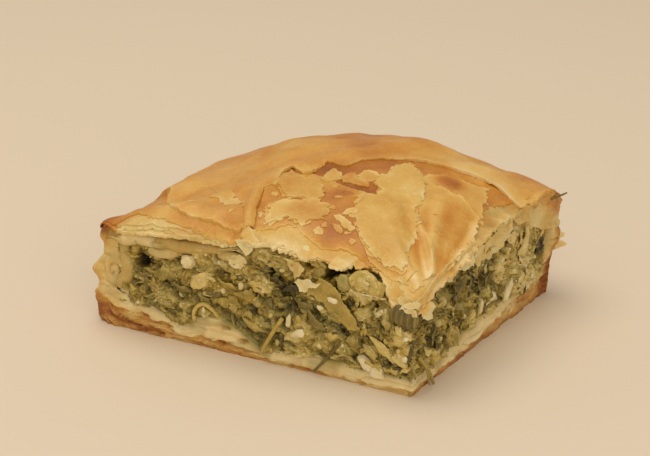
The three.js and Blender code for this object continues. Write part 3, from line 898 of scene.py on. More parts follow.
FALLEN_FLAKES = [
    [(15.9, -23.8), (16.8, -22.8), (19.7, -23.8), (22.2, -25.6), (21.7, -27.2), (19.5, -26.5),
     (17.7, -25.4)],
    [(16.6, -26.9), (18.3, -26.3), (20.2, -27.7), (19.7, -28.8), (18.1, -28.1)],
    [(13.9, -30.8), (14.5, -28.8), (15.9, -29.3), (16.0, -30.9), (14.9, -31.5)],
    [(14.4, -27.7), (15.5, -26.6), (16.5, -27.8), (15.6, -28.7)],
    [(16.9, -22.4), (17.5, -20.0), (19.7, -19.5), (20.1, -20.8), (18.3, -22.1)],
    [(17.3, -17.9), (16.6, -14.3), (17.6, -12.1), (18.3, -15.0), (18.2, -17.5)],
    [(-1.9, -38.8), (-1.3, -36.0), (1.1, -37.4), (3.6, -38.6), (2.2, -39.7), (-0.6, -39.6)],
    [(23.2, -29.0), (23.8, -28.5), (24.6, -28.8), (24.8, -29.6), (24.2, -30.2), (23.4, -29.8)],
    [(15.0, -37.0), (15.5, -36.2), (16.4, -36.2), (16.9, -36.9), (16.5, -37.7), (15.5, -37.8)],
    [(-3.4, -22.0), (-2.4, -21.4), (-1.4, -21.8), (-1.2, -22.9), (-2.4, -23.4)],
    [(-5.8, -17.6), (-4.8, -16.9), (-4.0, -17.4), (-4.2, -18.6), (-5.2, -18.8)],
]
ROOF_FRAGMENTS = [
    ([(21.9, -37.6), (22.4, -36.0), (24.1, -35.0), (26.4, -35.4), (27.0, -36.6), (25.4, -38.0),
     (23.3, -38.4)], 0.3),
    ([(26.6, -34.0), (27.5, -32.8), (29.8, -33.2), (30.2, -34.3), (28.8, -35.4), (27.5, -35.2)],
     0.44),
    ([(37.5, -34.8), (39.9, -33.4), (42.0, -35.0), (44.5, -36.2), (43.9, -38.6), (42.2, -39.4),
     (39.5, -37.8)], 0.28),
]
SMALL_BITS = [
    (21.4, -27.6, 1.3, 30), (13.0, -17.2, 1.6, 10), (-7.6, -33.6, 1.2, 50), (-5.6, -30.4, 1.0, 20),
    (-20.5, -31.6, 1.4, 40), (-0.4, -31.6, 1.6, 80), (46.0, -9.5, 2.6, 80), (34.6, -7.4, 1.1, 15),
    (27.6, -11.0, 0.9, 60), (38.6, -14.0, 1.0, 20), (9.8, -13.6, 1.5, 70), (12.4, -21.6, 1.4, 130),
]


def flake_outline(x, y, size, turn):
    """The ragged outline of one small bit, longer than it is wide."""
    count = 9
    random = np.random.default_rng(int(abs(x * 31 + y * 17) * 10))
    angle = np.linspace(0, 2 * math.pi, count, endpoint=False) + random.uniform(-0.25, 0.25, count)
    reach = size / 2 * random.uniform(0.45, 1.3, count)
    along, across = reach * np.cos(angle) * 1.25, reach * np.sin(angle) * 0.8
    turn = math.radians(turn)
    return np.column_stack([x + along * math.cos(turn) - across * math.sin(turn),
                            y + along * math.sin(turn) + across * math.cos(turn)])


FINGER_CREST = {"from": (-8.0, -20.5), "to": (-0.6, -36.8), "height": 1.1, "reach": 1.6}


def finger_crest(x, y):
    """The round back of the fold that runs to the front edge."""
    start, end = np.array(FINGER_CREST["from"]), np.array(FINGER_CREST["to"])
    along = (end - start) / np.linalg.norm(end - start)
    across = (x - start[0]) * along[1] - (y - start[1]) * along[0]
    return FINGER_CREST["height"] * np.exp(-((across / FINGER_CREST["reach"]) ** 2))


def blister(x, y):
    """The creases of the skin, and where it puffed up: over the left edge, at its end towards the
    front, and near the summit."""
    swollen = 1.7 * rising(y + 0.25 * x, -19, -14) * swelling(x, y, (-41, 4), (9, 16))
    swollen += 2.0 * swelling(x, y, (-32.5, -18), (6, 7))
    swollen += 2.1 * swelling(x, y, (-16, 8), (9, 10))
    return 0.8 * creases(x, y) + swollen


# Where the fan turned over: the (x, y) of its sharp fold.
FAN_FOLD = [
    (28, -8), (30.0, -10.9), (33.6, -14.1), (36.6, -16.3), (39.9, -19.9), (43.1, -24.0),
    (44.6, -27.1),
]


def fan_folds(x, y):
    """The pleats of the fan, and the sharp fold along which it turned over."""
    from_fold = (y - along_line(x, FAN_FOLD)) / 1.1
    fold = np.exp(-(from_fold**2)) * rising(x, 27, 32) * falling(x, 43.5, 45.5)
    return pleats(x, y) + 0.7 * fold


def painted_pleat_light(x, y):
    """Painted light and shade on the fan: paler along the ridges of its pleats and along its fold,
    darker in the valleys between them.
    """
    return -0.16 * (np.minimum(fan_folds(x, y), 0.45) - 0.2)


def brown_spot(x, y):
    """One bubble of the fan's back sheet that browned."""
    away = ((x - 30.0) / 3.0) ** 2 + ((y - 9.6) / 4.0) ** 2
    return 0.34 * np.exp(-away**1.5)


def skin_tint(x, y):
    """The skin is browner along its creases, and where it turns down at the tray side near the
    front.
    """
    side = np.exp(-np.maximum(x - LEFT, 0) / 1.8) * falling(y, -30, -12)
    return 0.06 * creases(x, y) + 0.34 * side


def ledge_outline(start, end, front, depth, seed):
    """A thin sheet that lies bare along the front cut from x = start to end."""
    x = np.linspace(start, end, 8)
    edge = along_line(x, FRONT_EDGE) if end < 5 else np.full(8, -39.2)
    edge = edge + front + 0.7 * noise(flat(x, 0 * x), 6.0, seed)
    ends = [(end, edge[-1] + depth), (start, edge[0] + depth)]
    return torn(list(zip(x, edge)) + ends, 0.55, 0.35, seed)


# Bare sheets along the front cut: (start, end, out, depth, toast).
LEDGES = [
    (-37.5, -1.5, -0.2, 7, 0.42), (-38.0, -3, -0.5, 8, 0.36), (-38.5, -2.5, 0.1, 8, 0.42),
    (-36.5, -5.0, -0.2, 7, 0.38), (-39.5, -3, 0.5, 8, 0.44),
]
ROOF_LEDGES = [(-2.5, 15.5, 0.6, 3.4, 0.2), (-1, 17.5, -0.1, 3.0, 0.24)]
AMBER = [
    (-12, -36), (4, -36), (7, -33.6), (35, -32.2), (39.4, -37), (44.5, -37), (43, -12), (40, 4),
    (42, 14), (45, 24), (45, 30), (-12, 30),
]


def lower_sheets():
    """The sheets that show at the front cut and on the amber floor of the torn part."""
    lay_sheet("open_layer", whole_plan(0.2), gap=0.2, drape=1.5, curl=0.0, toast=0.55, spacing=0.9,
              seed=1)
    for i, (start, end, front, depth, toast) in enumerate(LEDGES):
        lay_sheet(f"ledge_sheet_{i + 1}", ledge_outline(start, end, front, depth, 40 + i),
                  pale_phyllo, gap=0.26, drape=1.0, curl=0.2, thickness=0.24, toast=toast,
                  spacing=0.42, seed=50 + i, wrinkle=0.16)
    lay_sheet("lower_right_layer", torn(LOWER_RIGHT, 0.8, seed=21), pale_phyllo, stain=0.35,
              gap=0.25, drape=1.0, toast=0.46, spacing=0.5, seed=22, wrinkle=0.7)
    lay_sheet("amber_layer", torn(AMBER, 0.5, seed=4), curl=0.2, toast=0.62, spacing=0.7, seed=2,
              wrinkle=0.3)


def roof():
    """The sheets that span the torn front, over the crest of the filling."""
    torn_away = torn_front(MAP_X) * falling(MAP_Y, -34.5, -31.5)
    Lid.top = np.maximum(Lid.top, lerp(Lid.top, crust(MAP_X, MAP_Y) - 1.0, torn_away))
    for i, (start, end, front, depth, toast) in enumerate(ROOF_LEDGES):
        lay_sheet(f"roof_ledge_{i + 1}", ledge_outline(start, end, front, depth, 60 + i), gap=0.25,
                  drape=1.0, curl=0.5, curl_width=1.4, toast=toast, spacing=0.5, seed=62 + i,
                  wrinkle=0.3)
    lay_sheet("roof_sheet", torn(ROOF, 0.8, 0.25, seed=6),
              ply=torn(grown(ROOF, 0.1), 0.8, 0.3, seed=66), gap=0.2, curl=0.15, toast=0.28,
              spacing=0.5, seed=3, wrinkle=0.3)
    fragments = [
        (torn(outline, 0.9, 0.2, 700 + i), toast)
        for i, (outline, toast) in enumerate(ROOF_FRAGMENTS)
    ]
    lay_flakes("roof_fragments", fragments, gap=0.04, drape=0.8, curl=0.2, curl_width=0.9,
               thickness=0.2, spacing=0.3, wrinkle=0.3)
    lay_sheet("amber_step", torn(AMBER_STEP, 0.9, 0.25, seed=7), gap=0.2, curl=0.25,
              thickness=0.22, toast=0.5, edge_toast=-0.2, spacing=0.5, seed=13, wrinkle=0.24)
    crack = torn_each(CRACK_FLAKES, 0.6, 0.25, 400, (0.3, 0.04, 3))
    lay_flakes("crack_flakes", crack, gap=0.12, drape=0.9, curl=0.25, curl_width=0.9,
               thickness=0.18, spacing=0.35, wrinkle=0.16)


def skin_hollow(x, _):
    """The skin rests closed on the lower one at the left, and shows air under its rim after that."""
    return lerp(3.5, 0.5, rising(x, -28, -20))


def skins():
    """The whole, unbroken skin at left and back, on the lower one, and the finger's fold."""
    lay_sheet("lower_skin", round_corner(torn(LOWER_SKIN, 0.5, 0.3, seed=38), *SOFT_CORNER),
              drape=1.6, curl=0.25, toast=0.44, edge_toast=-0.12, spacing=0.5, seed=39,
              wrinkle=0.2, tint=skin_tint)
    lay_sheet("whole_skin", round_tray_corner(torn(SKIN, 0.6, seed=8), BACK + BACK_LEAN + 0.4),
              gap=0.45, drape=2.2, curl=0.55, curl_width=1.6, thickness=0.3, toast=0.43,
              spacing=0.5, seed=4, shape=blister, wrinkle=0.2, tint=skin_tint, hollow=skin_hollow)
    lay_sheet("finger_fold", torn(FINGER_FOLD, 0.3, seed=19), gap=0.2, drape=0.9, curl=0.0,
              thickness=0.3, toast=0.4, edge_toast=0.05, spacing=0.4, seed=20, shape=finger_crest)


def fan():
    """The broad torn flake, its pleated fan and what lies under and beside them."""
    lay_sheet("back_fan", torn(BACK_FAN, 0.9, 0.3, seed=45), gap=0.25, drape=1.3, toast=0.38,
              edge_toast=-0.12, spacing=0.45, seed=46, shape=pleats, wrinkle=0.3, tint=brown_spot)
    lay_sheet("fan_border", torn(FAN_BORDER, 1.4, 0.25, seed=18), gap=0.15, curl=0.35, toast=0.22,
              edge_toast=-0.08, spacing=0.4, seed=9, wrinkle=0.3)
    lay_sheet("broad_fan", torn(BROAD_FAN, 0.8, 0.3, seed=10), drape=1.4, curl=0.2, toast=0.27,
              spacing=0.45, seed=5, shape=fan_folds, wrinkle=0.2, tint=painted_pleat_light)
    lay_sheet("under_lobe", torn(UNDER_LOBE, 0.6, 0.3, seed=11), gap=0.12, curl=0.15,
              thickness=0.2, toast=0.4, spacing=0.45, seed=15)
    lay_sheet("broad_lobe", torn(BROAD_LOBE, 1.0, 0.25, seed=17),
              ply=torn(grown(BROAD_LOBE, 0.1), 1.0, 0.3, seed=31), drape=1.3, curl=0.22,
              curl_width=1.6, thickness=0.2, toast=0.31, spacing=0.45, seed=25, wrinkle=0.2,
              gap=0.16)


def loose_flakes():
    """The flakes that lie on the skin and on the amber floor, and the bits that fell there."""
    for name, outline, seeds, curl, toast in (
        ("heart_flake", HEART_FLAKE, (12, 32, 6), 0.22, 0.36),
        ("strip_flake", STRIP_FLAKE, (14, 33, 7), 0.28, 0.38),
    ):
        ply = torn(grown(outline, 0.2), 1.0, 0.3, seeds[1])
        lay_sheet(name, torn(outline, 1.0, 0.25, seeds[0]), ply=ply, gap=0.12, curl=curl,
                  thickness=0.18, toast=toast, spacing=0.4, seed=seeds[2], wrinkle=0.16)
    lay_sheet("small_flake", torn(SMALL_FLAKE, 0.9, 0.25, seed=16), gap=0.12, curl=0.2,
              thickness=0.18, toast=0.28, spacing=0.35, seed=8, wrinkle=0.14)
    fallen = torn_each(FALLEN_FLAKES, 0.5, 0.2, 500, (0.2, 0.04, 4))
    bits = torn_each([flake_outline(*row) for row in SMALL_BITS], 0.3, 0.2, 600, (0.24, 0.05, 4))
    lay_flakes("fallen_flakes", fallen + bits, gap=0.06, drape=0.8, curl=0.12, curl_width=0.9,
               thickness=0.16, spacing=0.28, wrinkle=0.16)


def lid_sheets():
    lower_sheets()
    roof()
    skins()
    fan()
    loose_flakes()


def plates(points, layer, length, seed):
    """Broken layers at a cut: the number of each spot's plate, from -1 to 1, and how far it lies
    inside the plate's edge.
    """
    along = points[..., 0] + points[..., 1]
    return cells(along + 1.2 * noise(points, 4.0, seed + 5), layer, 1.0, length, seed)


LID_SHEET, LID_FOLD = 0.55, 1.9  # how far the lid's crisp sheets and doughy folds lie apart


def lid_body():
    """The thickness of the lid under its sheets: soft, doughy folds below, crisp layers above."""
    loop, out, _ = plan_loop(*MESH["lid"][:2], inset=LID_INSET)

    def body_top(x, y):
        y = y + BACK_LEAN * (y - FRONT) / DEPTH
        return crust(x, y) - OVER_BODY - ledge_room(x, y) + puffed(x, y)

    def layer_at(points):
        """How high a point lies in the body, from 0 to 1, and how crisp it is there."""
        x, y, z = axes(points)
        under = lid_underside(x, y)
        share = (z - under) / np.maximum(body_top(x, y) - under, 0.1)
        return share, rising(share + 0.12 * noise(points, 6.0, 25), 0.45, 0.8)

    def push(points, ways):
        x, y, z = axes(points)
        share, crisp = layer_at(points)
        at_right, front_cut = ways[..., 0] > 0.5, y < FRONT + 3
        bent = z - lid_underside(x, y)
        bent = bent + 0.7 * noise(points, 6.0, 21) + 0.25 * noise(points, 2.0, 26)
        thin, thin_edge = plates(points, bent / LID_SHEET, 9.0, 22)
        soft, soft_edge = plates(points, bent / LID_FOLD, 4.0, 23)
        crisp_out = 0.45 * thin + 0.25 * rising(thin_edge, 0, 0.3) - 0.4
        soft_out = 0.3 * soft + 0.2 * rising(soft_edge, 0, 0.8) - 0.4
        soft_out = soft_out + 0.5 * rough(points, 4.0, 2, 28)
        in_fold = rising(x, -40, -32) * falling(x, -8, -1)
        soft_out += 1.5 * in_fold * (1 - ((share - 0.38) / 0.45) ** 2) * front_cut
        softer = rising(y, 12, 24) * at_right
        result = lerp(soft_out, crisp_out, crisp * (1 - 0.75 * softer))
        result = result + 0.15 * rough(points, 2.0, 3, 27)
        result -= 1.1 * in_fold * rising(share, 0.62, 0.8) * front_cut
        result += FAR_BULGE * rising(y, 24, 38) * at_right
        result = lerp(result, silhouette(z, EDGE_OUT) + 0.3, near_front_corner(y, ways))
        return result - TORN_DEPTH * torn_front(x) * (ways[..., 1] < -0.8)

    points, faces = band_solid(loop, out, ragged_underside, body_top, push, *MESH["lid"][2:])
    x, y, z = axes(points)
    share, crisp = layer_at(points)
    toast = 0.2 + 0.12 * crisp + 0.16 * rough(points, 5.0, 3, 24)
    tray = from_tray_side(x, y, BACK + BACK_LEAN)
    side = (0.2 + 0.25 * rising(y, -34, -22)) * falling(tray, 0, 1.5)
    toast += side * np.where(x > 44, 0.4, 1)
    patchy = noise(points, 3.5, 29)
    far = rising(y, 8, 24) * (x > 40)
    soaked = np.clip((0.45 + 0.35 * patchy) * (1 - crisp), 0, 1)
    stain = soaked * rising(tray, 0.8, 4) * (1 - 0.6 * far)
    toast += far * (0.1 + 0.16 * rising(share, 0.7, 1.0))
    toast += 0.5 * swelling(x, y, (-43.5, -38), (2.6, 3)) * rising(z, 23.0, 25.5)
    marks = {"toast": toast, "stain": stain}
    make_piece("lid_body", points, faces, pale_phyllo, "pastry_lid", marks)


def layer_edges():
    """Edges of thin sheets at both cuts of the lid: long, wavy ribbons that stand out a little."""
    random = np.random.default_rng(41)
    edges = Heap("lid_layer_edges", pale_phyllo, "pastry_lid", 0.05, 1.2, ("toast",))
    for face in (FRONT_FACE, RIGHT_FACE):
        for share in np.linspace(0.1, 0.96, 9):
            for u in np.arange(face.start + 12, face.along[-1] - 4, 6.5):
                u = u + random.uniform(-2.5, 2.5)
                low, high, slope = face.lid_at(u)
                torn_away = u > -1 or share > 0.7 if face is FRONT_FACE else u > 14 and share < 0.8
                if random.random() < 0.45 or high - low < 0.5 or torn_away:
                    continue
                v = lerp(low, high, share) + random.normal(0, 0.15)
                width = random.uniform(1.4, 2.2)
                shape = leaf_shape(random, random.uniform(5, 12), width, random.uniform(0.18, 0.34),
                                   random.normal(0, 0.5), random.uniform(0.1, 0.35))
                w = -width / 2 + random.uniform(0.0, 0.7)
                angles = slope + random.normal(0, 0.05), math.pi / 2 + random.normal(0, 0.25), 0
                toast = 0.12 + 0.2 * share + random.normal(0, 0.06)
                edges.add(shape, face, (toast,), (u, v, w), angles)
    edges.make()


# ---- The case ----


# Gaps between the layers of the base at the front cut: (x, z, reach).
HOLES = [(-7.0, 6.6, 1.0), (-7.7, 2.2, 0.8), (-1.9, 3.7, 1.0)]


def holes_in_base(points):
    """The gaps in the base, from 0 to 1."""
    x, y, z = axes(points)
    x = x + 0.9 * noise(points, 1.6, 91) + 0.4 * (z % 3)
    z = z + 0.5 * noise(points, 1.3, 92)
    near = sum(
        np.exp(-(((x - u) / (reach * 1.4)) ** 2 + ((z - v) / (reach * 0.6)) ** 2) ** 2)
        for u, v, reach in HOLES
    )
    return near * (y < FRONT + 4)


# How high the browned underside shows at the front cut, and its dark streaks: (x, z).
UNDERSIDE = [
    (-46, 8.4), (-44, 7.0), (-41, 5.6), (-38, 4.8), (-35, 4.6), (-32.3, 5.4), (-29.4, 4.2),
    (-24.3, 3.8), (-22.0, 2.4), (-19.5, 1.5), (-16.7, 1.7), (-14.3, 2.6), (-9.8, 2.6), (-4.4, 2.6),
    (0.4, 1.8), (5.7, 0.6), (12.8, 0.8), (26.3, 0.6), (45, 1.0),
]
DARK_STREAKS = [
    [(-43.4, 2.9), (-40.5, 2.2), (-36.4, 1.6), (-32.6, 1.2), (-26.0, 1.0)],
    [(-32.6, 5.3), (-31.2, 4.2), (-28.0, 3.5), (-25.2, 3.7), (-23.4, 2.6)],
]


def browned_underside(points):
    """Where the crisp, browned underside of the case shows at its cuts, from 0 to 1: thick and
    broken at the left, a thin line at the right.
    """
    x, y, z = axes(points)
    reach = along_line(x, UNDERSIDE) + 4.0 * rising(y, -12, 34) * (x > 40)
    reach = reach + 0.5 * noise(drawn_out(points, 0.3), 0.9, 93) + 0.3 * noise(points, 1.4, 99)
    return 1 - rising(z, reach - 0.45, reach + 0.45)


# How far the wall stands out at its height, at the front left edge and at the far right one.
EDGE_OUT = [
    (-1, 0.9), (0, 1.2), (1.8, 2.2), (4.6, 2.0), (6.7, 3.0), (8.5, 2.6), (10, 1.0), (12.3, 1.8),
    (13.8, 3.4), (16.2, 1.9), (18, 0.0), (19.8, -1.9), (21.0, -1.6), (22.4, 0.1), (23.6, 0.6),
    (24.9, 0.1), (26.0, -0.4), (30, -0.6),
]
FAR_OUT = [(-1, 0.4), (0, 0.4), (7, 0.2), (11, 1.6), (15.7, 2.5), (21, 2.6), (26, 1.8), (30, 1.4)]


def silhouette(z, line):
    """How far a bumpy line up a wall stands out at a height."""
    return sum(along_line(z + dz, line) for dz in (-0.9, -0.3, 0.3, 0.9)) / 4


def near_front_corner(y, ways):
    """How near a spot of the left side is to the front cut, from 0 to 1."""
    return falling(y, FRONT + 3, FRONT + 13) * (ways[..., 0] < -0.3)


def folded_layers(points):
    """The soft layers of the base, cut: a lip at the middle of each and a groove between two, from
    1 to -1, strong in some places and faint in others.
    """
    bent = drawn_out(points, 0.25)
    height = points[..., 2] + 1.3 * noise(bent, 2.6, 41) + 0.35 * noise(points, 1.6, 42)
    return layer_edge(height / SOFT_LAYER) * rising(noise(bent, 2.2, 43), -0.5, 0.5)


def push_at_cut(points, layer, rolled):
    """How the cut pastry of the case stands in or out: soft, doughy folds with brittle layers
    under them.
    """
    under = browned_underside(points)
    thin, thin_edge = plates(points, layer * 1.4, 7.0, 36)
    crisp = 0.6 * thin + 0.45 * rising(thin_edge, 0, 0.3) - 0.35
    wrinkled = drawn_out(points, 0.4) + 0.5 * noise(points, 4.0, 94)[..., None]
    soft = 0.6 * rough(drawn_out(points, 0.6), 3.0, 2, 38)
    soft = soft + 0.12 * (1 - 2 * np.abs(noise(wrinkled, 1.2, 95))) + 0.34 * folded_layers(points)
    in_roll = 0.42 * layer_edge(layer) + 0.4 * rough(points, 3.4, 3, 35)
    at_cut = lerp(lerp(soft, in_roll, rolled), crisp, under) - 0.6
    at_cut += 0.22 * rough(points, 3.0, 4, 31)
    return at_cut - (1.6 * holes_in_base(points) + 0.5 * under)


def push_at_tray(points, ways):
    """How the baked sides of the case stand in or out: shallow folds, and bulges at the two edges
    that end at a cut.
    """
    x, y, z = axes(points)
    swell = SIDE_BULGE * np.sin(np.pi * np.clip(z / CORNER["left"], 0, 1)) * (ways[..., 0] < -0.3)
    along = x + y
    ridge = 0.55 * np.sin(z * 0.72 + 0.9 * np.sin(along * 0.11) - 0.4)
    ridge = ridge + 0.3 * np.sin(along * 0.27 + z * 0.2)
    folds = 0.16 * layer_edge(z / SIDE_FOLD + 0.9 * noise(points, 9.0, 32))
    at_tray = swell + (ridge + folds) * rising(z, 0, 3) + 0.14 * rough(points, 2.5, 3, 33) - 0.3
    bumps = 0.3 * rough(points, 2.0, 2, 39)
    at_tray = lerp(at_tray, silhouette(z, EDGE_OUT) + bumps, near_front_corner(y, ways))
    at_right = rising(x, 30, 40) * (ways[..., 1] > 0.3)
    return lerp(at_tray, silhouette(z, FAR_OUT) + bumps, at_right)


def case_push(points, ways):
    """How far the pastry of the case stands out of its plan."""
    _, y, z = axes(points)
    cut = np.maximum(rising(-ways[..., 1], 0.25, 0.85), ways[..., 0] > 0.5)
    at_cut = push_at_cut(points, *layers_in_case(points))
    at_cut += FAR_BULGE * rising(y, 29, 39) * rising(z, 8, 15) * (ways[..., 0] > 0.5)
    return lerp(push_at_tray(points, ways), at_cut, cut) * rising(z, -0.5, 0.6)


def dark_streaks(points):
    """How much darker the browned underside is in places, most in its two drawn streaks."""
    x, y, z = axes(points)
    at_front = y < FRONT + 4
    streaks = 0.12 * rough(drawn_out(points, 0.15), 0.8, 3, 96)
    for streak, strength in zip(DARK_STREAKS, (0.55, 0.25)):
        start, end = streak[0][0], streak[-1][0]
        line = along_line(x, streak) + 0.4 * noise(points, 3.0, 100)
        here = rising(x, start - 1, start + 1) * falling(x, end - 1, end + 1)
        streaks += strength * np.exp(-(((z - line) / 0.6) ** 2)) * here * at_front
    middle = 0.14 * np.exp(-(((x + 9) / 9) ** 2))
    return streaks + (0.06 * falling(x, -20, 4) + middle) * at_front


def case_toast(points):
    """How far the case browned: most where it touched the tray, least at its cuts. Its gaps, and the
    furrows between its layers, are also painted darker as shade.
    """
    layer, rolled = layers_in_case(points)
    x, y, z = axes(points)
    from_tray = from_tray_side(x, y, BACK + lean(z))
    near_front = falling(y, FRONT + 2, FRONT + 10) * rising(z, 3, 7)
    side_skin = 0.4 * np.exp(-np.maximum(from_tray, 0) / 1.0) * (1 - 0.75 * near_front)
    under = browned_underside(points)
    foot_line = 0.2 * np.exp(-np.maximum(z, 0) / 0.5)
    corner = 0.06 * swelling(x, z, (LEFT, 3), (5, 6)) + 0.2 * under * (x > 44)
    tip = 0.5 * np.exp(-((np.hypot(x - LEFT, z - 25.5) / 4.0) ** 2))
    left_wall = 0.11 * falling(x, -40, -33) * rising(z, 1, 5)
    far_back = np.maximum(0.8 * rising(y, -24, 6), rising(y, 28, 31))
    back_wall = 0.46 * rising(from_tray, 6, 1) * far_back
    wet = 0.07 * rising(noise(drawn_out(points, 0.4), 2.4, 97), 0.0, 0.7)
    patches = 0.07 * rough(points, 5.0, 3, 34)
    # Darker between the layers of the roll and of the base: painted shade, and wetter dough there as
    # well.
    grooves = 0.07 * (1 - layer_edge(layer)) * rolled
    grooves = grooves + 0.025 * (1 - folded_layers(points)) * (1 - under)
    folds = left_wall + back_wall + wet + patches + grooves
    browned = 0.06 + side_skin + (0.27 + dark_streaks(points)) * under
    browned = browned + foot_line + corner + tip + folds
    # The gaps in the base are 0.4 darker: painted shade in the gaps.
    return np.minimum(browned, 0.86) + 0.4 * holes_in_base(points)


def case_stain(points):
    """How far the filling's juice soaked into the case: most at the top of the base, and all
    through the doughy fold of the left wall.
    """
    x, y, z = axes(points)
    from_tray = from_tray_side(x, y, BACK + lean(z))
    below = np.maximum(ragged_base_top(x, y) - z, 0)
    patchy = noise(drawn_out(points, 0.5), 2.4, 98)
    soaked = np.exp(-below / 1.3) * (0.5 + 0.4 * patchy) + 0.3 * rising(patchy, 0.1, 0.6)
    soaked *= 1 - 0.8 * rising(z - ragged_base_top(x, y), 0.5, 2.5)
    wall = (0.26 + 0.26 * patchy) * rising(z, 7, 11) * (1 - 0.7 * rising(z, 18, 23))
    inner = rising(from_tray, 0.8, 4) * (1 - browned_underside(points))
    return np.clip(lerp(soaked, wall, falling(x, -36, -33)) * inner, 0, 1)


def case_marks(points):
    return {"toast": case_toast(points), "stain": case_stain(points)}


def case_base():
    loop, out, _ = plan_loop(*MESH["base"][:2])
    points, faces = band_solid(
        loop, out, lambda x, y: 0 * x, ragged_base_top, case_push, *MESH["base"][2:]
    )
    make_piece("base_crust", points, faces, pale_phyllo, "pastry_case", case_marks(points))


def case_walls():
    """The left and back walls, one L in plan with the round tray corner outside."""
    outer, outer_way, tray = plan_loop(*MESH["walls"][:2])
    outer, outer_way = outer[tray], outer_way[tray]
    thick = WALL_FOOT + WALL_FOLD
    inner = outer - outer_way * lerp(BACK_WALL, thick, np.abs(outer_way[:, :1]))
    inner = inner[(inner[:, 0] > LEFT + thick - 0.2) & (inner[:, 1] < BACK - BACK_WALL + 0.2)][::-4]
    front_end = np.array([(LEFT + i * END_STEP, FRONT) for i in range(int(thick / END_STEP))])
    front_way = np.tile([(0.0, -1.0)], (len(front_end), 1))
    front_end, front_way = rounded(front_end, front_way, [SOFT_CORNER])
    right_end = [(RIGHT, BACK - BACK_WALL + i * END_STEP) for i in range(int(BACK_WALL / END_STEP))]
    right_way = np.tile([(1.0, 0.0)], (len(right_end), 1))
    loop = np.concatenate([outer, front_end, inner, right_end])
    out = np.concatenate([outer_way, front_way, np.zeros((len(inner), 2)), right_way])
    points, faces = band_solid(
        loop, out, raised(ragged_base_top, -0.7), raised(lid_underside, 0.6), case_push,
        *MESH["walls"][2:]
    )
    make_piece("side_walls", points, faces, pale_phyllo, "pastry_case", case_marks(points))


# ---- The filling ----

COOL_STOPS = [
    (0.0, "#23210f"), (0.16, "#453f1b"), (0.32, "#655d2e"), (0.48, "#847c40"), (0.64, "#a3995a"),
    (0.8, "#c6bc88"), (1.0, "#ebdfba"),
]
WARM_STOPS = [
    (0.0, "#33260c"), (0.16, "#624d1a"), (0.32, "#8b712b"), (0.48, "#ab903c"), (0.64, "#c6aa52"),
    (0.8, "#dcc57a"), (1.0, "#f3e6bd"),
]


def wet_filling(name, roughness, grain_size, mottling, bump, through):
    """Cooked greens, leek and cheese bound with egg, still wet: a broken, moist shine over soft,
    half clear flesh. Each point's tone runs from dark leaf to pale cheese, with painted shade in the
    filling's hollows and between its lumps, and warm from grey green to the yellow of egg and oil.
    """
    material, tree, shader = new_material(name)
    place = add_node(tree, "ShaderNodeTexCoord").outputs["Object"]
    mottle = noise_texture(tree, place, grain_size, 4.0, 0.7)
    crumb = noise_texture(tree, place, grain_size * 0.42, 2.0, 0.5)
    specks = stretched(tree, crumb, 0.6, 0.72, 0.0, mottling * 0.8)
    pits = stretched(tree, crumb, 0.28, 0.4, -mottling * 0.7, 0.0)
    shift = calculated(tree, "MULTIPLY_ADD", mottle, mottling, -mottling / 2)
    shift = calculated(tree, "ADD", shift, calculated(tree, "ADD", specks, pits))
    shaded = calculated(tree, "ADD", mark(tree, "tone"), shift, clamp=True)
    surface(
        tree, shader,
        blended(
            tree, mark(tree, "warm"), ramp(tree, shaded, COOL_STOPS), ramp(tree, shaded, WARM_STOPS)
        ),
        stretched(tree, mottle, 0.35, 0.65, roughness - 0.14, roughness + 0.2),
        (mottle, 0.7, bump),
        IOR=1.4, Coat_Weight=0.3, Coat_Roughness=0.2, Subsurface_Weight=through,
        Subsurface_Radius=(1.0, 0.85, 0.4), Subsurface_Scale=0.001,
    )
    return material


greens_paste = wet_filling("greens_paste", 0.42, 1.1, 0.32, 0.34, 0.1)
cooked_leaf = wet_filling("cooked_leaf", 0.36, 1.4, 0.26, 0.2, 0.1)
soft_leek = wet_filling("soft_leek", 0.36, 1.6, 0.16, 0.12, 0.3)
crumbled_feta = wet_filling("crumbled_feta", 0.5, 0.9, 0.1, 0.14, 0.25)
dill_stalk = wet_filling("dill_stalk", 0.38, 1.5, 0.14, 0.06, 0.1)


# The top of the base at the front cut: (x, z).
BASE_LINE = [
    (-45, 8.8), (-41, 8.3), (-37, 7.5), (-33.5, 7.6), (-31, 7.8), (-28.5, 7.4), (-26, 6.4),
    (-23, 5.6), (-20, 5.2), (-17.5, 5.6), (-15.5, 7.6), (-14.1, 8.6), (-9.6, 9.3), (-4.3, 7.1),
    (0.5, 5.0), (3.8, 3.0), (10.9, 3.2), (14.7, 4.2), (19.4, 5.2), (24, 4.5), (30.8, 3.4),
    (35.7, 5.0), (41.9, 4.7), (46, 4.6),
]


def base_surface(x, y):
    """The top of the base, which rises and falls along the front cut."""
    from_cut = rising(y, FRONT + 2, FRONT + 8)
    return lerp(base_top(x, y), along_line(x, BASE_LINE), 1 - from_cut)


def ragged_base_top(x, y):
    return base_surface(x, y) + 0.6 * rough(flat(x, y), 5.0, 4, 61)


def ragged_underside(x, y):
    return lid_underside(x, y) + 0.5 * rough(flat(x, y), 5.0, 3, 62)


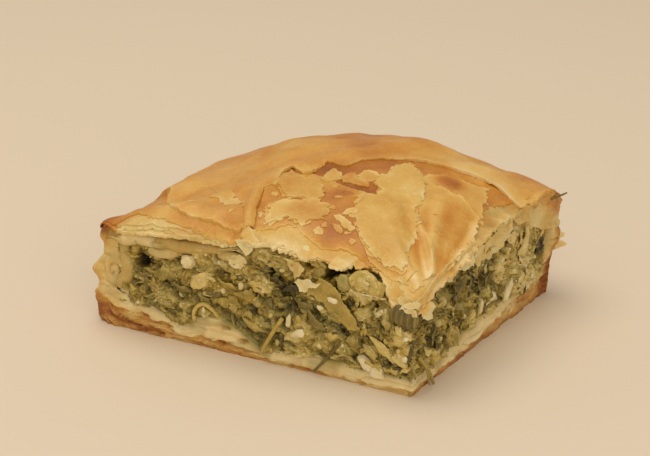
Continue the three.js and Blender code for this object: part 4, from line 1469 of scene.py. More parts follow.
class CutFace:
    """One cut through the filling: u runs along it, v up, and w out of it. It holds how far each
    spot stands out, its tone and its warmth. Places on it are listed as zones of a tint (u, v,
    reach, tone, warm), as mounds of one colour (u, v, rise, half length, half height, turn in
    degrees, tone, warm), and as hollows (u, v, reach along, reach up, depth). The hollows and the
    edges between lumps are painted darker in tone, as shade, and each mound is darker towards its
    rim.
    """

    STEP = 0.2
    HEIGHT = 38

    def __init__(self, name, start, end, seed, hollows, zones, mounds):
        self.name, self.start, self.seed = name, start, seed
        self.along = np.arange(start, end, self.STEP)
        self.height = np.arange(0, self.HEIGHT, self.STEP)
        self.u, self.v = np.meshgrid(self.along, self.height)
        self.spots = np.stack([self.u, self.v, 0 * self.u + seed * 3.0], -1)
        bent = self.bent(((1.5, 5.0), (0.5, 1.5)), 0)
        big, big_edge = cells(*bent, 5.2, 1.6, seed + 4)
        self.mid, mid_edge = cells(*bent, 2.1, 1.5, seed + 7)
        self.small, small_edge = cells(*bent, 0.9, 1.3, seed + 10)
        self.fine = rough(self.spots, 0.9, 3, seed + 13)
        streaks = [0.5 * (self.u - 0.4 * self.v), self.v + 0.4 * self.u, 0 * self.u + seed]
        self.clods = rough(np.stack(streaks, -1), 2.6, 4, seed + 25)
        self.out = (
            0.35 * big + 0.35 * rising(big_edge, 0, 0.5) + 0.75 * self.clods + 0.25 * self.mid
            + 0.4 * rising(mid_edge, 0, 0.4) + 0.14 * self.small
            + 0.25 * rising(small_edge, 0, 0.35) + 0.22 * self.fine - 1.3
        )
        # Painted shade: the tone is darker at the edges between lumps, on top of the shading their
        # relief gives.
        crevice_shade = falling(big_edge, 0, 0.12) + falling(mid_edge, 0, 0.1)
        patches = noise(self.spots, 7.0, seed + 30)
        self.tone = (
            0.5 + 0.17 * self.clods + 0.08 * patches + 0.05 * np.sin(11 * self.mid)
            + 0.05 * self.small
            + 0.07 * self.fine - 0.1 * crevice_shade
        )
        self.warm = (
            0.58 + 0.3 * self.clods + 0.3 * patches + 0.1 * np.sin(17 * self.mid)
            + 0.1 * noise(self.spots, 2.5, seed + 16)
        )
        self.tint(zones)
        self.raise_mounds(mounds)
        self.sink(hollows, *bent)
        self.warm = np.clip(self.warm, 0, 1)

    def bent(self, bends, first):
        """The grid's u and v, moved about by noises of a strength and size, so that edges wander.
        """
        places = []
        for grid, seed in ((self.u, self.seed + first), (self.v, self.seed + first + 2)):
            for i, (strength, size) in enumerate(bends):
                grid = grid + strength * noise(self.spots, size, seed + i)
            places.append(grid)
        return places

    def tint(self, zones):
        for at_u, at_v, reach, tone, warm in zones:
            share = np.exp(-((self.u - at_u) ** 2 + (self.v - at_v) ** 2) / reach**2)
            self.tone += share * tone
            self.warm += share * warm

    def raise_mounds(self, mounds):
        ragged_u, ragged_v = self.bent(((0.9, 2.6), (0.4, 1.1)), 19)
        for at_u, at_v, rise, half_length, half_height, turn, tone, warm in mounds:
            cosine, sine = math.cos(math.radians(turn)), math.sin(math.radians(turn))
            along = (ragged_u - at_u) * cosine + (ragged_v - at_v) * sine
            across = (ragged_v - at_v) * cosine - (ragged_u - at_u) * sine
            away = np.hypot(along / half_length, across / half_height)
            share = falling(away, 0.85, 1.02)
            crown = rise * np.sqrt(np.clip(1 - away**2, 0, 1))
            crown = crown + 0.2 * self.small + 0.15 * self.fine - 0.7
            self.out = lerp(self.out, crown + 0.15 * self.mid + 0.3 * self.clods, share)
            # Painted shade: each mound is darker towards its rim, where it turns away.
            shade = tone - 0.16 * rising(away, 0.7, 1.0)
            shade = shade + 0.04 * self.small + 0.05 * self.fine + 0.08 * self.clods
            self.tone = lerp(self.tone, shade, share)
            self.warm = lerp(self.warm, warm + 0.15 * self.mid, share)

    def sink(self, hollows, bent_u, bent_v):
        for at_u, at_v, reach_u, reach_v, depth in hollows:
            away = np.hypot((bent_u - at_u) / reach_u, (bent_v - at_v) / reach_v)
            share = falling(away, 0.5, 1.15)
            self.out -= share * depth
            # The hollows are also painted darker in tone, as shade.
            self.tone -= share * 0.32

    def read(self, values, u, v):
        i = np.clip(np.round((u - self.start) / self.STEP).astype(int), 0, len(self.along) - 1)
        j = np.clip(np.round(v / self.STEP).astype(int), 0, len(self.height) - 1)
        return values[j, i]

    def level(self, u, v):
        """How far the filling stands out at one spot."""
        return float(self.read(self.out, np.array(u), np.array(v)))

    def colour(self, u, v):
        """The filling's tone and warmth at one spot."""
        u, v = np.array(u), np.array(v)
        return tuple(float(self.read(values, u, v)) for values in (self.tone, self.warm))

    def to_pie(self, points):
        """Turns (u, v, w) points to the pie's own axes."""
        u, v, w = axes(points)
        if self.name == "front":
            return np.stack([u, FRONT - w, v], -1)
        return np.stack([RIGHT + w, u, v], -1)

    def lid_at(self, u):
        """The lid's underside and its body's top at a spot along the cut, and its slope there."""

        def heights(u):
            u = np.asarray(u, float)
            x, y = (u, 0 * u + FRONT) if self.name == "front" else (0 * u + RIGHT, u)
            return lid_underside(x, y), crust(x, y) - 1.8 - ledge_room(x, y)

        low, high = heights(u)
        ahead = heights(u + 1.0)
        slope = math.atan2(ahead[0] + ahead[1] - low - high, 2.0)
        return float(low), float(high), slope

    def holds(self, u, v, margin):
        """Whether a spot lies in the filling, margin from the pastry round it."""
        if self.name == "front":
            x, y = u, FRONT
            side = min(u - LEFT - wall_thickness(v), RIGHT - u)
            top = lid_underside(x, y) + filling_rise(x, y)
        else:
            x, y = RIGHT, FRONT + (u - FRONT) * DEPTH / (DEPTH + lean(v))
            side = min(BACK - y - BACK_WALL, u - FRONT)
            top = lid_underside(x, y)
        return side > margin and base_surface(x, y) + margin < v < top - margin


# Lumps of paste, cheese and egg that show plainly.
FRONT_MOUNDS = [
    (-13.0, 18.5, 1.9, 3.4, 2.6, 28, 0.78, 0.72), (-12.2, 21.3, 1.2, 3.0, 1.5, -8, 0.56, 0.6),
    (4.3, 21.4, 1.7, 3.4, 2.6, -52, 0.7, 0.9), (32.4, 25.0, 1.9, 4.1, 4.6, 14, 0.77, 0.86),
    (42.4, 15.0, 1.6, 3.4, 2.4, 10, 0.76, 0.95), (43.6, 11.8, 1.4, 2.4, 2.2, 0, 0.7, 0.95),
    (39.8, 13.2, 1.4, 2.2, 1.8, 30, 0.62, 0.85), (32.2, 18.8, 1.5, 2.8, 1.7, 15, 0.66, 0.6),
    (37.4, 18.8, 1.6, 1.6, 3.3, 12, 0.7, 0.62), (21.2, 8.2, 1.5, 2.8, 1.8, -10, 0.66, 0.8),
    (17.0, 9.6, 1.4, 2.4, 1.6, 20, 0.62, 0.75), (27.0, 8.2, 1.6, 3.0, 1.8, -35, 0.64, 0.6),
    (-33.2, 11.2, 1.4, 2.6, 2.0, 0, 0.48, 0.85), (-8.0, 23.6, 1.4, 2.8, 1.3, -14, 0.7, 0.5),
    (-24.2, 23.4, 1.5, 3.5, 1.6, -18, 0.72, 0.6), (15.8, 12.5, 1.4, 2.6, 1.5, -20, 0.6, 0.7),
    (-20.0, 19.4, 1.2, 1.7, 1.3, 0, 0.52, 0.6), (-18.8, 10.4, 1.3, 2.2, 1.3, 12, 0.62, 0.55),
    (-12.0, 8.8, 1.2, 3.4, 2.2, -10, 0.64, 0.6), (-26.0, 13.0, 1.2, 2.8, 1.2, -10, 0.56, 0.5),
    (8.0, 13.4, 1.3, 2.4, 1.3, 14, 0.54, 0.5), (29.6, 10.6, 1.4, 2.4, 1.3, -25, 0.6, 0.6),
    (12.6, 8.4, 1.3, 2.0, 1.2, 0, 0.64, 0.7), (4.6, 28.6, 1.0, 4.0, 1.9, 4, 0.67, 0.62),
    (10.6, 26.6, 1.2, 4.4, 2.2, -12, 0.6, 0.56), (20.0, 26.2, 1.0, 1.5, 1.6, 0, 0.56, 0.5),
    (7.4, 24.4, 1.1, 2.6, 1.2, -10, 0.42, 0.2),
]
RIGHT_MOUNDS = [
    (8.2, 16.6, 1.6, 1.7, 3.8, -10, 0.78, 0.85), (-6.0, 8.2, 1.4, 3.4, 2.1, 30, 0.7, 0.9),
    (-30.0, 7.2, 1.6, 3.2, 2.3, 0, 0.66, 0.95), (-24.6, 5.4, 1.4, 3.4, 1.9, 15, 0.68, 0.9),
    (20.5, 9.4, 1.4, 3.6, 3.0, 20, 0.78, 0.85), (30.0, 8.4, 1.4, 3.2, 3.0, 0, 0.76, 0.8),
    (16.0, 14.0, 1.3, 2.4, 3.2, 10, 0.74, 0.85), (24.6, 13.0, 1.3, 2.6, 2.6, 0, 0.76, 0.8),
    (-23.1, 18.6, 1.5, 1.4, 2.5, 4, 0.7, 0.4), (-12.4, 12.8, 1.3, 1.8, 2.8, -20, 0.58, 0.5),
    (2.0, 12.0, 1.3, 1.6, 2.8, -8, 0.66, 0.6), (12.6, 18.2, 1.3, 1.7, 2.6, 0, 0.72, 0.8),
    (-18.0, 8.0, 1.3, 3.0, 1.8, 15, 0.62, 0.8), (4.0, 6.6, 1.3, 3.0, 1.6, 20, 0.68, 0.8),
]

# Gaps between the lumps, and tints of whole stretches of the two cuts. The dark tints on the hollows
# at (-31, 19.8) and from (17, 27.4) to (41.4, 22.2) on the front cut, and at (32.8, 14.6) on the
# right cut, are painted shade.
FRONT_HOLLOWS = [
    (-31.0, 19.8, 3.0, 2.5, 3.4), (-6.2, 25.6, 3.4, 0.9, 1.6), (8.2, 23.6, 1.8, 1.0, 1.1),
    (17.4, 27.2, 1.7, 1.4, 3.0), (24.0, 26.7, 3.6, 1.7, 3.6), (28.6, 28.4, 2.4, 1.3, 3.2),
    (34.2, 29.4, 2.4, 1.3, 3.0), (37.0, 27.4, 1.3, 2.0, 3.2), (39.4, 24.4, 1.2, 1.8, 2.8),
    (41.4, 22.2, 1.0, 1.2, 2.2), (34.8, 19.6, 0.9, 1.2, 2.2), (-11.2, 9.7, 1.0, 0.9, 1.8),
    (11.5, 19.5, 1.3, 0.9, 1.2), (27.0, 12.0, 1.2, 0.7, 1.2), (33.0, 12.3, 1.4, 0.8, 1.3),
    (-20.5, 13.0, 1.2, 0.8, 1.2),
]
FRONT_ZONES = [
    (-31.0, 19.8, 2.8, -0.3, -0.2), (-27, 12, 7, -0.02, -0.15), (-13, 19, 5, 0.1, 0.3),
    (9.5, 21.5, 4, -0.12, -0.2), (23, 13.5, 6.5, -0.05, -0.4), (14, 9, 5, 0.06, 0.1),
    (43, 14, 6, 0.16, 0.4), (33, 24, 4, 0.12, 0.25), (24.0, 26.9, 3.0, -0.24, 0.1),
    (17.0, 27.4, 1.7, -0.2, 0.1), (29.4, 28.8, 2.2, -0.5, 0.1), (34.6, 29.6, 2.2, -0.45, 0.1),
    (37.4, 27.2, 1.6, -0.45, 0.1), (39.4, 24.4, 1.5, -0.36, 0), (41.4, 22.2, 1.3, -0.3, 0),
    (-3, 14, 6, -0.02, 0.3), (20, 8, 5, 0.08, 0.2), (38, 7, 4, 0.04, 0.0), (2, 12, 6, -0.02, -0.2),
]
FRONT_FACE = CutFace("front", LEFT, RIGHT + 3, 5, FRONT_HOLLOWS, FRONT_ZONES, FRONT_MOUNDS)
RIGHT_HOLLOWS = [
    (32.8, 14.6, 3.4, 3.0, 2.6), (24.1, 5.6, 1.2, 0.8, 1.2), (6.7, 4.4, 0.8, 0.9, 1.0),
    (-14.0, 20.5, 1.5, 1.1, 1.2), (-6.0, 16.5, 0.9, 1.4, 1.1), (-30.5, 17.0, 0.9, 1.3, 1.0),
]
RIGHT_ZONES = [
    (-22, 16, 9, 0.02, -0.1), (-3, 16, 9, -0.12, -0.3), (9, 15, 5, 0.06, 0.3),
    (24, 12, 11, 0.3, 0.4), (-34, 16, 4, -0.12, 0.1), (-26, 10, 4, -0.14, -0.1),
    (-12, 20, 4, -0.16, -0.1), (14.6, 17, 4, 0.12, 0.2), (3.3, 10, 4, -0.16, -0.1),
    (32.8, 14.6, 3.2, -0.5, -0.4), (-30, 6, 6, 0.1, 0.4), (-6, 6, 7, 0.08, 0.25),
]
RIGHT_FACE = CutFace("right", FRONT - 3, BACK + 4, 29, RIGHT_HOLLOWS, RIGHT_ZONES, RIGHT_MOUNDS)
FACES = {"front": FRONT_FACE, "right": RIGHT_FACE}


def trough(x, y):
    """The dark hollow between the filling's crest at the front cut and the torn lid behind it."""
    behind = rising(y, FRONT + 0.8, FRONT + 3.4)
    return torn_front(x) * behind * falling(y, FRONT + 5, FRONT + 9)


def filling_rise(x, y):
    """How much higher the filling stands where the lid is torn away at the front."""
    crest = CREST_RISE * torn_front(x) * falling(y, FRONT + 4, FRONT + 9)
    return crest - TROUGH_DEPTH * trough(x, y)


def filling_paste():
    loop, out, tray = plan_loop(*MESH["filling"][:2], soft=False)
    inset = WALL_FOOT - 0.4
    loop[tray] -= out[tray] * inset
    loop[:, 0] = np.maximum(loop[:, 0], LEFT + inset)
    loop[:, 1] = np.minimum(loop[:, 1], BACK - BACK_WALL + 0.6)

    def push(points, ways):
        x, y, z = axes(points)
        front = FRONT_FACE.read(FRONT_FACE.out, x, z)
        right = RIGHT_FACE.read(RIGHT_FACE.out, y, z)
        return np.where(ways[..., 1] < -0.5, front, np.where(ways[..., 0] > 0.5, right, -0.1))

    def filling_top(x, y):
        return ragged_underside(x, y) + 0.4 + filling_rise(x, y)

    points, faces = band_solid(
        loop, out, raised(ragged_base_top, -0.4), filling_top, push, *MESH["filling"][2:]
    )
    x, y, z = axes(points)
    at_front = y - FRONT < RIGHT - x
    marks = {
        key: np.where(at_front, FRONT_FACE.read(getattr(FRONT_FACE, key), x, z),
                      RIGHT_FACE.read(getattr(RIGHT_FACE, key), y, z))
        for key in ("tone", "warm")
    }
    # Painted shade: the trough behind the crest is darker in tone.
    marks["tone"] -= 0.2 * trough(x, y)
    make_piece("greens_and_egg", points, faces, greens_paste, "filling", marks)


# ---- Bits in the filling: leaf, leek, cheese and stalks ----


def turned(points, turn, tilt, bank):
    """Turns points about w by turn, after tilting them about u and banking them about v, in
    radians.
    """
    u, v, w = axes(points)
    u, w = u * math.cos(bank) + w * math.sin(bank), w * math.cos(bank) - u * math.sin(bank)
    v, w = v * math.cos(tilt) - w * math.sin(tilt), w * math.cos(tilt) + v * math.sin(tilt)
    u, v = u * math.cos(turn) - v * math.sin(turn), u * math.sin(turn) + v * math.cos(turn)
    return np.stack([u, v, w], -1)


def grid_faces(rows, columns, around=False):
    """The quads of a grid of points. around closes each row on itself."""
    index = np.arange(rows * columns).reshape(rows, columns)
    after = np.roll(index, -1, axis=1) if around else index[:, 1:]
    before = index if around else index[:, :-1]
    return np.stack([before[:-1], after[:-1], after[1:], before[1:]], -1).reshape(-1, 4)


def closed_sheet(middle, way, thickness):
    """Closes a sheet round a grid of middle points: thickness is for each point, and way points
    out.
    """
    rows, columns = middle.shape[:2]
    half = way * thickness[..., None] / 2
    points = np.concatenate([(middle + half).reshape(-1, 3), (middle - half).reshape(-1, 3)])
    upper = grid_faces(rows, columns)
    index = np.arange(rows * columns).reshape(rows, columns)
    rim = np.concatenate([index[0], index[1:, -1], index[-1, -2::-1], index[-2:0:-1, 0]])
    after = np.roll(rim, -1)
    sides = np.column_stack([after, rim, rim + rows * columns, after + rows * columns])
    ways = np.concatenate([way.reshape(-1, 3), -way.reshape(-1, 3)])
    return points, ways, [upper, upper[:, ::-1] + rows * columns, sides]


def closed_tube(rings):
    """Closes a tube of rings, a grid of points by ring, with a point at the middle of each end."""
    count, sides = rings.shape[:2]
    middles = rings.mean(axis=1)
    ways = rings - middles[:, None]
    ways /= np.maximum(np.linalg.norm(ways, axis=-1, keepdims=True), 1e-9)
    points = np.concatenate([rings.reshape(-1, 3), middles[:1], middles[-1:]])
    all_ways = np.concatenate([ways.reshape(-1, 3), np.zeros((2, 3))])
    ring = np.arange(sides)
    start = np.column_stack([np.roll(ring, -1), ring, np.full(sides, count * sides)])
    last = ring + (count - 1) * sides
    end = np.column_stack([last, np.roll(last, -1), np.full(sides, count * sides + 1)])
    return points, all_ways, [grid_faces(count, sides, around=True), start, end]


FREE_REACH = 1.9  # how far a bit stands out of a cut before it is drawn in


def drawn_in(reach):
    past = np.maximum(reach - FREE_REACH, 0)
    return np.minimum(reach, FREE_REACH) + FREE_REACH * np.tanh(past / FREE_REACH)


class Heap:
    """Gathers closed bits of one kind, and makes them one piece with a rough surface."""

    def __init__(self, name, material, node, roughen, grain, keys=("tone", "warm"), crisp=False):
        self.name, self.material, self.node = name, material, node
        self.keys, self.crisp = keys, crisp
        self.roughen, self.grain = roughen, grain
        self.points, self.ways, self.faces, self.marks = [], [], [], []
        self.count = 0

    def add(self, shape, face, colour, place=(0, 0, 0), angles=(0, 0, 0), edge_tone=0):
        """Seats one closed bit on a cut face. colour is its marks, angles are turn, tilt and bank.
        """
        points, ways, faces = shape
        seated = turned(points, *angles) + np.array(place)
        seated[:, 2] = drawn_in(seated[:, 2])
        if face is FRONT_FACE:
            seated[:, 0] = RIGHT + drawn_in(seated[:, 0] - RIGHT)
        else:
            seated[:, 0] = FRONT - drawn_in(FRONT - seated[:, 0])
        self.points.append(face.to_pie(seated))
        self.ways.append(face.to_pie(turned(ways, *angles)) - face.to_pie(np.zeros(3)))
        self.faces += [f + self.count for f in faces]
        marks = np.tile(colour, (len(points), 1))
        marks[:, 0] += edge_tone
        self.marks.append(marks)
        self.count += len(points)

    def make(self):
        points, ways = np.concatenate(self.points), np.concatenate(self.ways)
        marks = np.concatenate(self.marks)
        points = points + ways * (self.roughen * rough(points, self.grain, 2, 71))[:, None]
        corners = ([f for f in self.faces if f.shape[1] == count] for count in (3, 4))
        faces = [np.concatenate(group) for group in corners if group]
        marks[:, 0] += 0.07 * noise(points, 1.6, 73)
        named = dict(zip(self.keys, marks.T))
        make_piece(self.name, points, faces, self.material, self.node, named, self.crisp)


def leaf_shape(random, length, width, thickness, bend, ruffle):
    """A ragged scrap of leaf, bent and ruffled, flat on the face with its length along u."""
    rows, columns = max(5, int(length / 0.5)), max(4, int(width / 0.5))
    a, b = np.meshgrid(np.linspace(-1, 1, rows), np.linspace(-1, 1, columns), indexing="ij")
    phase = random.uniform(0, 6.3, 6)
    narrow = 1 - random.uniform(0.3, 0.8) * np.abs(a) ** 2.5
    u = length / 2 * (a + 0.1 * np.sin(5 * b + phase[0]) * np.abs(a))
    ruffled = b * narrow * (1 + 0.22 * np.sin(4 * a + phase[1]))
    v = width / 2 * (ruffled + 0.3 * np.sin(2.2 * a + phase[2]))
    jagged = noise(np.stack([a * length, b, 0 * a + phase[0]], -1), 0.9, 7)
    v += 0.45 * jagged * b * np.abs(b)
    w = bend * (
        a**2 + random.uniform(-0.6, 0.6) * a * b
        + random.uniform(-0.5, 1) * b**2 * width / length
    )
    w += ruffle * np.sin(random.uniform(3, 6) * a + phase[3]) * (0.35 + 0.65 * np.abs(b))
    w += ruffle * 0.5 * np.sin(7 * a + 3 * b + phase[4])
    edge = np.maximum(np.abs(a), np.abs(b))
    way = np.broadcast_to(np.array([0.0, 0, 1]), u.shape + (3,))
    return closed_sheet(np.stack([u, v, w], -1), way, thickness * (1 - 0.6 * edge**6))


def lump_shape(random, size, detail=1.0, square=0.0):
    """A rounded lump with the given radii. square flattens its sides, as a cut cube has."""
    rings, sides = max(5, int(7 * detail)), max(7, int(10 * detail))
    fall = np.linspace(0.12, math.pi - 0.12, rings)[:, None]
    round_ = np.linspace(0, 2 * math.pi, sides, endpoint=False)[None]
    unit = np.stack([np.sin(fall) * np.cos(round_), np.sin(fall) * np.sin(round_),
                     np.cos(fall) * np.ones_like(round_)], -1)
    power = 1 - 0.6 * square
    unit = np.sign(unit) * np.abs(unit) ** power
    seed = int(random.integers(1, 900))
    wobble = 1 + 0.28 * noise(unit * 1.5, 1.0, seed) + 0.12 * noise(unit * 3.4, 1.0, seed + 1)
    return closed_tube(unit * wobble[..., None] * np.array(size))


def smooth_path(path, step):
    """Points a step apart on a smooth curve through all the points of a path."""
    path = np.array(path, float)
    length = np.linalg.norm(np.diff(path, axis=0), axis=1).sum()
    t = np.linspace(0, len(path) - 1, max(4, int(length / step)))
    i = np.minimum(t.astype(int), len(path) - 2)
    before, after = path[np.maximum(i - 1, 0)], path[np.minimum(i + 2, len(path) - 1)]
    s = (t - i)[:, None]
    a, b = path[i], path[i + 1]
    bend = (2 * before - 5 * a + 4 * b - after) * s**2
    return 0.5 * (2 * a + (b - before) * s + bend + (3 * a - before - 3 * b + after) * s**3)


def stalk_shape(path, radius, sides=7, flatness=1.0, taper=0.7, step=0.7, blunt=True):
    """A stalk along a path of (u, v, w) points, thinner towards its end. Its ends are round unless
    blunt."""
    middle = smooth_path(path, step)
    along = np.gradient(middle, axis=0)
    along /= np.linalg.norm(along, axis=1, keepdims=True)
    side = np.cross(along, [0.15, 0.1, 1.0])
    side /= np.linalg.norm(side, axis=1, keepdims=True)
    up = np.cross(side, along)
    angle = np.linspace(0, 2 * math.pi, sides, endpoint=False)[None, :, None]
    share = np.linspace(0, 1, len(middle))
    thick = radius * (1 - (1 - taper) * share**2)
    if not blunt:
        thick = thick * np.sqrt(np.clip(1 - np.abs(2 * share - 1) ** 5, 0.01, 1))
    ring = np.cos(angle) * side[:, None] + np.sin(angle) * up[:, None] * flatness
    return closed_tube(middle[:, None] + thick[:, None, None] * ring)


DEEP = -2.6  # a hollow, which stays free of bits


def spots_on(face, random, area_each, margin):
    """Spread places over a face, one to each area in square millimetres."""
    step = math.sqrt(area_each)
    end = face.along[-1]
    for v in np.arange(3, 34, step):
        for u in np.arange(face.start, end, step):
            at = u + random.uniform(-0.5, 0.5) * step, v + random.uniform(-0.5, 0.5) * step
            if face.holds(*at, margin) and face.level(*at) > DEEP:
                yield at


ANY_WAY = 6.3  # a whole turn, in radians


def near_colour(random, colour, tone, warm):
    """A colour moved at random: tone and warm each hold a mean shift and a spread."""
    return colour[0] + random.normal(*tone), np.clip(colour[1] + random.normal(*warm), 0, 1)


def leaves_on_edge(leaf, face, random):
    for u, v in spots_on(face, random, 16.0, 0.6):
        length, width = random.uniform(2.2, 7.5), random.uniform(1.6, 3.0)
        shape = leaf_shape(random, length, width, random.uniform(0.22, 0.45), random.normal(0, 0.7),
                           random.uniform(0.15, 0.5))
        w = face.level(u, v) - width / 2 + random.uniform(0.3, 1.0)
        angles = (random.normal(-0.2, 0.45), math.pi / 2 + random.normal(0, 0.35),
                  random.normal(0, 0.15))
        colour = near_colour(random, face.colour(u, v), (-0.04, 0.08), (-0.1, 0.15))
        leaf.add(shape, face, colour, (u, v, w), angles)


def leaves_lying_flat(leaf, face, random):
    for u, v in spots_on(face, random, 22.0, 0.5):
        shape = leaf_shape(random, random.uniform(1.6, 4.5), random.uniform(1.2, 2.6),
                           random.uniform(0.25, 0.4), random.normal(-0.3, 0.5),
                           random.uniform(0.1, 0.35))
        w = face.level(u, v) + random.uniform(0.0, 0.4)
        angles = random.uniform(0, ANY_WAY), random.normal(0, 0.5), random.normal(0, 0.4)
        colour = near_colour(random, face.colour(u, v), (0.0, 0.09), (0.0, 0.15))
        leaf.add(shape, face, colour, (u, v, w), angles)


def crumbs_of_paste(crumbs, face, random):
    for u, v in spots_on(face, random, 5.4, 0.3):
        size = random.uniform(0.2, 0.56)
        size = size * np.array([random.uniform(1, 1.8), 1, random.uniform(0.6, 0.9)])
        w = face.level(u, v) + random.uniform(-0.2, 0.15)
        shape, turn = lump_shape(random, size, 0.8), random.uniform(0, ANY_WAY)
        colour = near_colour(random, face.colour(u, v), (0.06, 0.08), (0.05, 0.12))
        crumbs.add(shape, face, colour, (u, v, w), (turn, 0, 0))


def slices_of_leek(leek, face, random):
    for u, v in spots_on(face, random, 34.0, 1.0):
        shape = leaf_shape(random, random.uniform(2.0, 4.6), random.uniform(1.0, 1.9),
                           random.uniform(0.5, 0.8), random.normal(-0.4, 0.4), 0.08)
        angles = random.normal(-0.3, 0.7), random.normal(0, 0.5), random.normal(0, 0.3)
        colour = random.uniform(0.5, 0.66), random.uniform(0.4, 0.9)
        leek.add(shape, face, colour, (u, v, face.level(u, v) + 0.1), angles)


def crumbs_of_feta(feta, face, random):
    """Cut crumbs of feta. None shows at the far left of the front cut."""
    for u, v in spots_on(face, random, 110.0, 0.6):
        size = random.uniform(0.35, 0.8) * np.array([1.3, 1, 0.9])
        shape, turn = lump_shape(random, size, 1.1, 0.4), random.uniform(0, ANY_WAY)
        colour = random.uniform(0.7, 0.9), random.uniform(0.6, 0.9)
        if face is RIGHT_FACE or u > -30:
            feta.add(shape, face, colour, (u, v, face.level(u, v) + 0.25), (turn, 0, 0))


def threads_of_dill(dill, face, random):
    for u, v in spots_on(face, random, 44.0, 1.0):
        way = random.uniform(-0.9, 0.9)
        length = random.uniform(1.5, 5)
        middle = np.array([u, v, face.level(u, v) + 0.35])
        along = np.array([math.cos(way), math.sin(way), random.normal(0, 0.15)]) * length / 2
        sag = np.array([0, random.normal(0, 0.4), 0.2])
        path = [middle - along, middle + sag, middle + along]
        shape = stalk_shape(path, random.uniform(0.18, 0.34), 5)
        dill.add(shape, face, (random.uniform(0.26, 0.46), random.uniform(0.4, 0.9)))


def loose_bits(leaf, crumbs, leek, feta, dill):
    """The bits that no one would count, spread over both cuts."""
    random = np.random.default_rng(11)
    for face in (FRONT_FACE, RIGHT_FACE):
        leaves_on_edge(leaf, face, random)
        leaves_lying_flat(leaf, face, random)
        crumbs_of_paste(crumbs, face, random)
        slices_of_leek(leek, face, random)
        crumbs_of_feta(feta, face, random)
        threads_of_dill(dill, face, random)


def flap_shape(outline, out, curl, thickness, seed, wander=0.35):
    """A thin, ragged flap with an outline in (u, v), out from the cut, its rim lifting by curl.
    Gives the flap, and how near each point is to its rim, from 0 to 1.
    """
    loop = torn(outline, wander, 0.3, seed)
    plan, triangles = triangulated(loop, 0.4, seed)
    spots = flat(plan[:, 0], plan[:, 1])
    edge = distance_to(plan, loop)
    top = out + 0.45 * rough(spots, 2.6, 4, seed) + curl * np.exp(-edge / 0.9)
    bottom = top - thickness * (1 - 0.6 * np.exp(-edge / 0.3))
    points, faces = thick_sheet(plan, triangles, top, bottom)
    return (points, np.zeros_like(points), faces), np.tile(np.exp(-edge / 0.5), 2)


def add_flap(heap, face, outline, out, curl, colour, rim_tone, thickness=0.3, **how):
    """Hangs one flap on a cut face, with its rim paler or darker by rim_tone."""
    shape, rim = flap_shape(outline, out, curl, thickness, **how)
    heap.add(shape, face, colour, edge_tone=rim_tone * rim)


# Lumps of cheese: (u, v, out, radii, turn in degrees, tone, warm).
FRONT_FETA = [
    (-17.0, 22.2, 1.1, (1.7, 1.8, 1.3), 0, 0.92, 1.0),
    (32.9, 6.0, 0.6, (2.3, 1.3, 1.1), -38, 0.93, 0.6),
    (35.8, 4.4, 0.5, (2.0, 1.4, 1.0), -10, 0.92, 0.62),
    (11.9, 12.7, 0.8, (0.6, 1.7, 0.5), -8, 0.92, 0.5),
    (14.6, 9.9, 1.0, (1.9, 1.1, 0.6), 24, 0.95, 0.5),
    (24.4, 20.7, 1.5, (1.5, 0.6, 0.4), -4, 0.95, 0.5),
    (43.4, 9.6, 0.9, (0.8, 0.7, 0.5), 0, 0.94, 0.5),
    (-13.2, 18.2, 1.3, (3.1, 1.8, 1.2), 40, 0.78, 1.0),
]
RIGHT_FETA = [
    (13.6, 9.2, 0.5, (1.0, 3.0, 0.9), -38, 0.93, 0.65),
    (-2.6, 10.4, 0.5, (0.8, 1.9, 0.7), -24, 0.88, 0.6),
    (-26.5, 14.6, 0.9, (1.0, 0.9, 0.8), 0, 0.66, 0.35),
]
# Short lengths of leek, listed like the cheese.
FRONT_LEEK = [
    (27.0, 25.2, 0.9, (1.8, 2.2, 1.0), 24, 0.58, 0.35),
    (19.9, 26.2, 0.1, (1.3, 1.5, 0.9), 20, 0.52, 0.6),
    (37.9, 10.4, 0.8, (4.1, 1.1, 0.8), -37, 0.72, 0.85),
    (41.8, 13.9, 0.9, (2.3, 1.4, 0.9), 24, 0.7, 0.95),
    (34.3, 9.0, 0.6, (2.6, 1.0, 0.8), -44, 0.62, 0.5),
    (42.4, 8.6, 0.9, (2.9, 1.0, 0.8), -34, 0.74, 0.75),
    (1.5, 9.0, 0.4, (3.0, 1.0, 0.8), -24, 0.6, 0.7),
    (-24.5, 9.6, 0.3, (2.8, 0.9, 0.8), -16, 0.6, 0.5),
]
